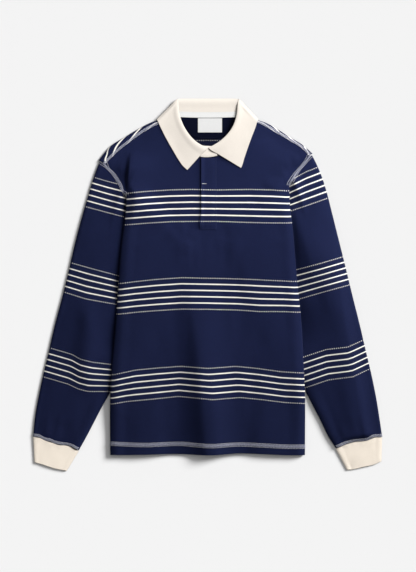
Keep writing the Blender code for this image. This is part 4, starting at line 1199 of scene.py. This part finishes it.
collar = dict(
    step=3.0, roll=1.45,
    shares=[0, 0.08, 0.155, 0.23, 0.27, 0.31, 0.35, 0.385, 0.42, 0.46, 0.5, 0.54, 0.6, 0.66, 0.73, 0.8, 0.87,
            0.94, 1],
    # centre back to centre front: seam X Y, roll X Y, edge X Y
    plan={
        -1: [
            (0, 356.8, 0, 390.8, 0, 343.7), (-29.8, 357, -29.8, 390.8, -31.9, 343.7),
            (-50.6, 358.1, -46.5, 390.8, -63.1, 343.9), (-65.2, 360.2, -56.9, 390.6, -86, 345.6),
            (-73.5, 361.6, -61.4, 390.1, -100.2, 347.7), (-79.2, 360.2, -64.2, 388.7, -106.2, 348.5),
            (-81.4, 356.4, -63.3, 384.3, -104.2, 343.1), (-81.9, 349.9, -62.3, 376, -100.6, 334.7),
            (-77.7, 337.4, -60.6, 359.3, -95, 323.3), (-68.3, 319.7, -53.9, 339.3, -87.1, 307.7),
            (-55.2, 303.1, -44.4, 322.2, -76.7, 289.5), (-39.8, 288.9, -32.3, 307.2, -65.2, 269.7),
            (-23.5, 277.7, -18.3, 296.4, -54.2, 253.1), (-11, 272.7, -2.7, 288.9, -43.7, 243.1)],
        1: [
            (0, 356.8, 0, 390.8, 0, 343.7), (28.5, 357, 28.5, 390.8, 30.6, 343.7),
            (49.4, 358.1, 45.2, 390.8, 61.9, 343.9), (65, 360.6, 55.6, 390.6, 83.7, 346),
            (73.3, 362.2, 60.4, 390.1, 97.3, 348.1), (78.9, 361, 63.3, 388.7, 103.3, 348.9),
            (81.4, 357.2, 62.3, 384.3, 101.4, 343.5), (81.9, 351, 61.2, 376, 99.2, 335.6),
            (78.1, 338.1, 59.8, 361.4, 95, 323.9), (68.5, 320.6, 54.8, 340.6, 88.1, 306.4),
            (54.8, 303.9, 45.2, 323.5, 81.9, 288.5), (38.5, 289.7, 31, 307.7, 75.6, 270.6),
            (22.3, 278.9, 14.4, 296, 71.4, 256), (8.7, 272.7, 0.6, 288.9, 68.1, 247.3)]},
    # Z of seam, roll and edge, and the turn of the fall: -1 under the stand, 0 at the side fold, 1 over it
    heights=[
        (4.2, 3.1, 0.8, -1), (4.2, 3.1, 0.8, -1), (4.2, 3.2, 0.8, -1), (4.2, 3.7, 0.8, -0.9),
        (4.6, 4.8, 1.1, -0.6), (5.6, 6.4, 5.2, 0), (7.2, 8.2, 9.0, 0.6), (8.2, 10.2, 9.4, 0.9),
        (8.6, 12, 9.4, 1), (9.2, 13.4, 9.6, 1), (9.8, 14.4, 10.2, 1), (10.4, 15, 10.8, 1),
        (11, 15, 11.2, 1), (11.6, 14.2, 11.6, 1)],
)


def collarPath(side, share):
    # points of one section: up the stand to the roll, and down the fall to its edge
    plan, heights = collar["plan"][side], collar["heights"]
    got = through(np.column_stack([np.linspace(0, 1, len(plan)), plan, heights]), share)
    seam, roll, edge = (np.array([got[2 * k], got[2 * k + 1], got[6 + k]]) for k in range(3))
    turn = float(np.clip(got[9], -1, 1))
    if turn > 0:
        seam[2] = max(seam[2], (float(zTop(seam[0], seam[1])) + 0.6) * smooth((turn + 1) / 2))
    flat = (edge - roll) * (1, 1, 0) / np.linalg.norm((edge - roll)[:2])
    behind = (seam - roll) * (1, 1, 0) / np.linalg.norm((seam - roll)[:2])
    lift = np.array([0, 0, turn]) + (1 - abs(turn)) * np.array([side * 0.72, 0.69, 0])
    r, inner = collar["roll"], unit(flat + behind)
    angles = np.radians((-90, -45, -18, 18, 45, 90))
    bend = [roll + inner * r * (1 - np.cos(a)) + lift * r * np.sin(a) for a in angles]
    stand = [seam, seam * 0.6 + roll * 0.4 - lift * 0.6 * r] + bend[:3]
    fall = bend[3:]
    start = fall[-1]
    for t in (0.3, 0.55, 0.8, 1.0):
        p = start + (edge - start) * t
        p[2] = edge[2] + (start[2] - edge[2]) * (1 - t) ** 1.15
        if turn > 0.3:
            p[2] = max(p[2], float(zTop(p[0], p[1])) + cloth["jersey"] / 2 + cloth["air"] + cloth["rib"] / 2)
        fall.append(p)
    return stand, fall


stand, fall = [], []
for side, run in ((-1, collar["shares"][::-1]), (1, collar["shares"][1:])):
    for share in run:
        a, b = collarPath(side, share)
        stand.append(a)
        fall.append(b)
stand, _, _ = fine(np.array(stand), collar["step"], collar["step"])
fall, _, _ = fine(np.array(fall), collar["step"], collar["step"])
for name, net in (("collar_stand", stand), ("collar_fall", fall)):
    pieces[name] = shell(name + "_twill", net, cloth["rib"], finish["creamTwill"],
                         arcRun(net, 0, net.shape[0] // 2), arcRun(net, 1))
    print(name, net.shape)

# The stand's end laps across the placket's top: its lower and upper edge, X, Y.
lap = dict(low=[(-16.4, 270.6), (-8, 269.6), (2, 269.8), (12, 271.2), (18.6, 273)], thick=1.0, height=13.0,
           high=[(-18, 294.5), (-9, 293), (0, 292.5), (8, 292.2), (15, 292.8)])
share = np.linspace(0, 1, 16)
low, high = along(lap["low"], share), along(lap["high"], share)
t = np.array([0, 0.05, 0.12, 0.25, 0.4, 0.55, 0.7, 0.82, 0.91, 0.97, 1])[:, None, None]
lapNet = np.concatenate([low * (1 - t) + high * t, np.zeros((11, 16, 1))], axis=2)
t = t[..., 0]
lapNet[..., 2] = lap["height"] - 0.7 * (1 - smooth(t / 0.12)) - 2.4 * smooth((t - 0.75) / 0.25) ** 2
sewn["collar_stand"] = [shell("stand_lap_twill", lapNet, lap["thick"], finish["creamTwill"], lapNet[..., 0],
                              lapNet[..., 1])]

trim = dict(
    placketLeft=-15.2, placketRight=16.5, placketTop=268.5, gapDeep=4.4, gapWide=2.6,
    # the tape along the stand: half its length, its lower edge, width and the rise of its ends
    tapeHalf=71.4, tapeLow=351.5, tapeWide=11.4, tapeBow=2.0,
    # the facing inside the back neck: X, upper Y, lower Y
    halfMoon=[(-75.6, 349.7, 342.7), (-56.9, 350.7, 328.1), (-31.9, 350.7, 312.5), (0, 350.7, 306.8),
              (31.7, 350.7, 312.5), (56.7, 350.7, 328.1), (75.4, 349.7, 342.7)],
    labelX=(-21.5, 28.5), labelY=(321, 350.3),
    # middle heights over the cloth below: the placket's, how far its free edge stands off and the sewn one
    # lies down, the facing's, the tape's with its least height over the surface, the label's
    placketUp=0.05, freeUp=2.3, sewnDown=0.95, moonUp=1.0, tapeUp=2.65, tapeLeast=5.5, labelUp=1.95,
    # stitch lines: distances in from an edge, the white bar on the placket and round the label
    moonInset=2.6, tapeRows=(1.2, 10.2), fallInset=3.2, boxHigh=8.0, stitchTop=262,
    # the facing's place down the cloth, beyond all the lines
    plainBelow=5000,
    bar=[(-12.7, 214.3), (-4.4, 214.3)], labelLine=[(-20.3, 348), (-20.3, 322.4), (27.3, 322.4), (27.3, 348)],
)


def lay(xs, ys, height):
    gx, gy = np.meshgrid(xs, ys)
    return np.dstack([gx, gy, height(gx, gy)])


def zPlacket(x, y):
    # its free edge stands off a little, the other is sewn down flat
    foot = smooth((body["slotEnd"] + 8.0 - y) / 9.0)
    free = trim["freeUp"] * smooth((-7.0 - x) / 8.0) * (1 - foot)
    sewnDown = trim["sewnDown"] * np.maximum(smooth((x - 8.0) / 8.0), foot)
    return zTop(x, y) + pitch + trim["placketUp"] + free - sewnDown


def zUnder(x, y):
    # it dips below the other's free edge, which leaves a dark line
    return zTop(x, y) - trim["gapDeep"] * smooth((-11.5 - x) / 4.0) * smooth((y - 128.0) / 25.0)


def zMoon(x, y):
    return zBack(x, y) + cloth["jersey"] / 2 + trim["moonUp"]


def zTape(x, y):
    return np.maximum(zBack(x, y) + trim["tapeUp"], trim["tapeLeast"])


def zLabel(x, y):
    return zBack(x, y) + cloth["jersey"] / 2 + trim["labelUp"]


def tapeY(x, rise):
    return trim["tapeLow"] + trim["tapeBow"] * (x / 70) ** 2 + rise


ys = np.linspace(body["slotEnd"] + cloth["seam"] + 1.3, trim["placketTop"], 60)
xs = np.linspace(-body["slot"][-1] + cloth["seam"], body["slot"][1] - cloth["seam"], 22)
placketUnder = lay(xs, ys, zUnder)
ys = np.linspace(body["slotEnd"] - 1.5, trim["placketTop"], 60)
xs = np.linspace(trim["placketLeft"], trim["placketRight"], 14)
placketOver = lay(xs, ys, zPlacket)
# near its foot the free edge meets the front again
reach = (trim["placketRight"] - xs[None, :]) / (trim["placketRight"] - trim["placketLeft"])
placketOver[..., 0] -= trim["gapWide"] * reach * (1 - smooth((ys[:, None] - 132.0) / 22.0))
for name, net in (("placket_under", placketUnder), ("placket_over", placketOver)):
    x, y = net[..., 0], net[..., 1]
    pieces[name] = shell(name + "_cloth", net, cloth["jersey"], finish["navyJersey"], x, level(x, y, "body"))

xs = np.linspace(trim["halfMoon"][0][0], trim["halfMoon"][-1][0], 60)
ends = through(trim["halfMoon"], xs)
t = np.linspace(0, 1, 14)[:, None]
ys = ends[:, 1] * (1 - t) + ends[:, 0] * t
xs = np.broadcast_to(xs, ys.shape)
moon = np.dstack([xs, ys, zMoon(xs, ys)])
# the facing takes the darker, painted-shade copy of the navy jersey
pieces["half_moon"] = shell("half_moon_cloth", moon, cloth["facing"], finish["navyFacing"], xs,
                            trim["plainBelow"] - ys)

xs = np.linspace(-trim["tapeHalf"], trim["tapeHalf"], 60)
ys = tapeY(xs, trim["tapeWide"] * np.linspace(0, 1, 7)[:, None])
xs = np.broadcast_to(xs, ys.shape)
tape = np.dstack([xs, ys, zTape(xs, ys)])
pieces["neck_tape"] = shell("neck_tape_twill", tape, cloth["tape"], finish["whiteTape"], xs, ys)

label = lay(np.linspace(*trim["labelX"], 22), np.linspace(*trim["labelY"], 14), zLabel)
pieces["neck_label"] = shell("neck_label_satin", label, cloth["label"], finish["labelSatin"], label[..., 0],
                             label[..., 1])
print("trim made")

gap = coverStitch["gap"]
hemSeam = np.interp(front[0, :, 0], *np.transpose(coverStitch["hemFront"]))
hemRows = [insetLine(front, 0, hemSeam + side * 1.15 * gap, lift) for side in (-1, 1)]
sewn["front"] = coverSeam("hem_front_stitch", [hemRows], 1.15)


def insideOut(pair):
    # the same line on the other face of the cloth, not below the surface the shirt lies on
    line, up = pair
    line = line - 2 * lift * up
    line[:, 2] = np.maximum(line[:, 2], coverStitch["thread"] * 1000)
    return line, -up


def evenly(line, up):
    # both at even shares of the line's length
    run = arcRun(line)
    at = np.linspace(0, 1, 60) * run[-1]
    line, up = (np.column_stack([np.interp(at, run, values) for values in part.T]) for part in (line, up))
    return line, unit(up)


span = slice(nearest(backCol, edge + 1), nearest(backCol, backCol[-1] - edge - 1))
hemRows = [coverStitch["hemBack"] + side * gap for side in (-1, 1)]
hemRows = [insideOut(insetLine(back, 0, distance, lift, pick=span)) for distance in hemRows]
sewn["back"] = coverSeam("hem_back_stitch", [hemRows])

armPairs, shoulderPairs = [], []
for side, word in ((-1, "left"), (1, "right")):
    onBody = insetLine(front, 1, 0.8 * gap, lift, side > 0, frontRow >= footRow - 0.1)
    net, keys = sleeveNets[side]
    shown = (keys >= kneeColumn) & (keys <= outerColumn + 0.3)
    onSleeve = insideOut(insetLine(net, 0, 0.8 * gap, lift, pick=shown))
    # both run from the fold to the shoulder tip
    start = onBody[0][0]
    if np.linalg.norm(onSleeve[0][0] - start) > np.linalg.norm(onSleeve[0][-1] - start):
        onSleeve = [part[::-1] for part in onSleeve]
    armPairs.append((evenly(*onBody), evenly(*onSleeve)))
    # at the shoulder both rows run on the back's cloth
    columns = backCol <= shoulderEnd if side < 0 else backCol >= backCol[-1] - shoulderEnd
    pair = []
    for distance in (0.5, 4.5):
        line, up = insetLine(back, 0, distance, lift, True, columns)
        if up[:, 2].mean() < 0:
            line, up = line - 2 * lift * up, -up
        if side > 0:
            line, up = line[::-1], up[::-1]
        pair.append(evenly(line, up))
    shoulderPairs.append(pair)
    wrist = [insideOut(insetLine(net, 0, distance, lift, True, slice(2, -2))) for distance in (1.0, 5.2)]
    sewn["sleeve_" + word] = coverSeam("wrist_%s_stitch" % word, [wrist], 0.78)
sewn["front"] += coverSeam("armhole_stitch", armPairs, 0.8, proud=0.3)
sewn["front"] += coverSeam("shoulder_stitch", shoulderPairs, 0.68)

inset, ribLift = trim["fallInset"], cloth["rib"] / 2 + 0.05
fallLines = [insetLine(fall, 1, inset, ribLift, True, slice(2, -2)), insetLine(fall, 0, inset, ribLift),
             insetLine(fall, 0, inset, ribLift, True)]
sewn["collar_fall"] = [plainSeam("collar_stitch", fallLines, seed=8)]


def drawn(points, height, proud):
    # a stitch line drawn in the plan, a little above a surface of the given height
    points = np.array(points, float)
    run = arcRun(points)
    at = np.linspace(0, run[-1], max(int(run[-1] / 2.5), 3))
    x, y = (np.interp(at, run, values) for values in points.T)
    return np.column_stack([x, y, height(x, y) + proud]), np.tile([0.0, 0.0, 1.0], (len(x), 1))


left, right, low = trim["placketLeft"] + 2.0, trim["placketRight"] - 1.6, body["slotEnd"] + 0.6
upTo, boxTop = trim["stitchTop"], low + trim["boxHigh"]
placketLines = [[(right, upTo), (right, low)], [(left, upTo), (left, low), (right, low)],
                [(left, boxTop), (right, boxTop)]]
placketLines = [drawn(points, zPlacket, lift) for points in placketLines]
sewn["placket_over"] = [plainSeam("placket_stitch", placketLines),
                        plainSeam("placket_bar", [drawn(trim["bar"], zPlacket, lift)], turn=math.pi / 2)]

xs = np.linspace(-72, 72, 60)
moonLine = np.column_stack([xs, through(trim["halfMoon"], xs)[:, 1] + trim["moonInset"]])
moonLines = [drawn(moonLine, zMoon, cloth["facing"] / 2 + 0.1)]
sewn["half_moon"] = [plainSeam("half_moon_stitch", moonLines)]
xs = np.linspace(-70, 70, 60)
tapeLines = [np.column_stack([xs, tapeY(xs, rise)]) for rise in trim["tapeRows"]]
tapeLines = [drawn(points, zTape, cloth["tape"] / 2 + 0.08) for points in tapeLines]
sewn["neck_tape"] = [plainSeam("neck_tape_stitch", tapeLines)]
labelLines = [drawn(trim["labelLine"], zLabel, cloth["label"] / 2 + 0.06)]
sewn["neck_label"] = [plainSeam("neck_label_stitch", labelLines)]
print("stitched")

# Slot, cut size in metres, flat area where it isn't a rectangle, how it is held and what it lies on.
cuts = dict(
    front=("navy_jersey", (0.62, 0.70), 0.355, "laid", ["back"]),
    back=("navy_jersey", (0.62, 0.72), 0.36, "laid", ["sleeve_left", "sleeve_right"]),
    sleeve_left=("navy_jersey", (0.44, 0.62), 0.18, "folded", []),
    sleeve_right=("navy_jersey", (0.44, 0.62), 0.18, "folded", []),
    cuff_left=("cream_rib", (0.19, 0.05), None, "folded", []),
    cuff_right=("cream_rib", (0.19, 0.05), None, "folded", []),
    collar_fall=("cream_rib", (0.42, 0.09), 0.0225, "folded", ["front"]),
    collar_stand=("cream_rib", (0.36, 0.031), None, "folded", ["front"]),
    placket_over=("navy_jersey", (0.032, 0.15), None, "laid", ["placket_under"]),
    placket_under=("navy_jersey", (0.032, 0.148), None, "laid", ["back"]),
    half_moon=("navy_jersey", (0.151, 0.044), 0.0048, "laid", ["back"]),
    neck_tape=("white_tape", (0.143, 0.0114), None, "laid", ["collar_stand"]),
    neck_label=("white_tape", (0.05, 0.0293), None, "laid", ["half_moon"]),
)


def attach(item):
    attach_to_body(item, "root")


for node, piece in pieces.items():
    attach(piece)
    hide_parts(node)
for node, items in sewn.items():
    for item in items:
        attach(item)

studio = dict(
    # height of the picture, the camera's place and the half width of the floor
    tall=1191.5e-3, middle=(0.0005, -0.0028), cameraUp=2.0, clip=(0.05, 20.0), reach=4,
    floor=(0.80, 0.80, 0.80), ambient=0.16,
    # suns: what they light, light on a level surface, way towards them, height and size in degrees
    suns=[("window", "navy", 0.28, (0.74, 0.67), 25.0, 24.0), ("edge", "navy", 0.13, (1.0, 0.25), 13.0, 20.0),
          ("inside", "facing", 0.38, (0.74, 0.67), 25.0, 24.0),
          ("front", "cream", 0.96, (0.72, 0.67), 46.0, 30.0),
          ("sweep", "floor", 0.79, (0.88, 0.50), 31.0, 24.0),
          ("ceiling", "floor", 0.18, (0.1, 0.1), 80.0, 60.0)],
    # a soft box beside the shirt: what it lights, watts, place, aim, side
    boxes=[("softBox", "navy", 5.1, (0.28, 0.62, 0.60), (0.04, 0.10, 0.0), 0.4)])


def addFloor():
    mesh = bpy.data.meshes.new("floor")
    r = studio["reach"]
    mesh.from_pydata([(-r, -r, 0), (r, -r, 0), (r, r, 0), (-r, r, 0)], [], [(0, 1, 2, 3)])
    made = bpy.data.materials.new("paleFloor")
    made.use_nodes = True
    tree = made.node_tree
    shader = tree.nodes["Principled BSDF"]
    shader.inputs["Roughness"].default_value = 1.0
    shader.inputs["Specular IOR Level"].default_value = 0.0
    grain = noise(addNode(tree, "ShaderNodeTexCoord")["Object"], 700.0, 2.0, 0.5)
    tone = fade(grain, 0.2, 0.8, 0.995, 1.005, "LINEAR")
    tree.links.new(shaded(studio["floor"], tone), shader.inputs["Base Color"])
    # from underneath the floor isn't there
    under = addNode(tree, "ShaderNodeNewGeometry")["Backfacing"]
    clear = addNode(tree, "ShaderNodeBsdfTransparent")[0]
    surface = addNode(tree, "ShaderNodeMixShader", {0: under, 1: shader.outputs[0], 2: clear})[0]
    tree.links.new(surface, tree.nodes["Material Output"].inputs["Surface"])
    floor = link("floor", mesh, made)
    return floor


def addObject(name, data):
    item = bpy.data.objects.new(name, data)
    bpy.context.scene.collection.objects.link(item)
    return item


def addLight(floor):
    world = bpy.data.worlds.new("studio")
    bpy.context.scene.world = world
    world.use_nodes = True
    backdrop = world.node_tree.nodes["Background"]
    backdrop.inputs["Color"].default_value = (1, 1, 1, 1)
    backdrop.inputs["Strength"].default_value = studio["ambient"]
    lit = {word: bpy.data.collections.new("lit " + word) for word in ("floor", "cream", "navy", "facing")}
    lit["floor"].objects.link(floor)
    for name, piece in pieces.items():
        word = "facing" if name == "half_moon" else "navy" if cuts[name][0] == "navy_jersey" else "cream"
        for item in [piece, *sewn.get(name, [])]:
            lit[word].objects.link(item)
    for name, where, share, way, height, size in studio["suns"]:
        sun = bpy.data.lights.new(name, "SUN")
        sun.energy, sun.angle = share * math.pi / math.sin(math.radians(height)), math.radians(size)
        # its light on the cloth doesn't brighten the floor round it
        sun.cycles.max_bounces = 0
        item = addObject(name, sun)
        item.rotation_euler = (math.radians(90 - height), 0.0, math.atan2(way[0], -way[1]))
        item.light_linking.receiver_collection = lit[where]
    for name, where, power, spot, aim, side in studio["boxes"]:
        lamp = bpy.data.lights.new(name, "AREA")
        lamp.energy, lamp.size = power, side
        item = addObject(name, lamp)
        item.location = spot
        item.rotation_euler = (Vector(aim) - Vector(spot)).to_track_quat("-Z", "Y").to_euler()
        item.light_linking.receiver_collection = lit[where]


def addCamera():
    lens = bpy.data.cameras.new("camera")
    lens.type, lens.ortho_scale = "ORTHO", studio["tall"]
    lens.clip_start, lens.clip_end = studio["clip"]
    camera = addObject("camera", lens)
    camera.location = (*studio["middle"], studio["cameraUp"])
    bpy.context.scene.camera = camera


addLight(addFloor())
addCamera()
bpy.context.scene.view_settings.view_transform = "Standard"
print("studio set")
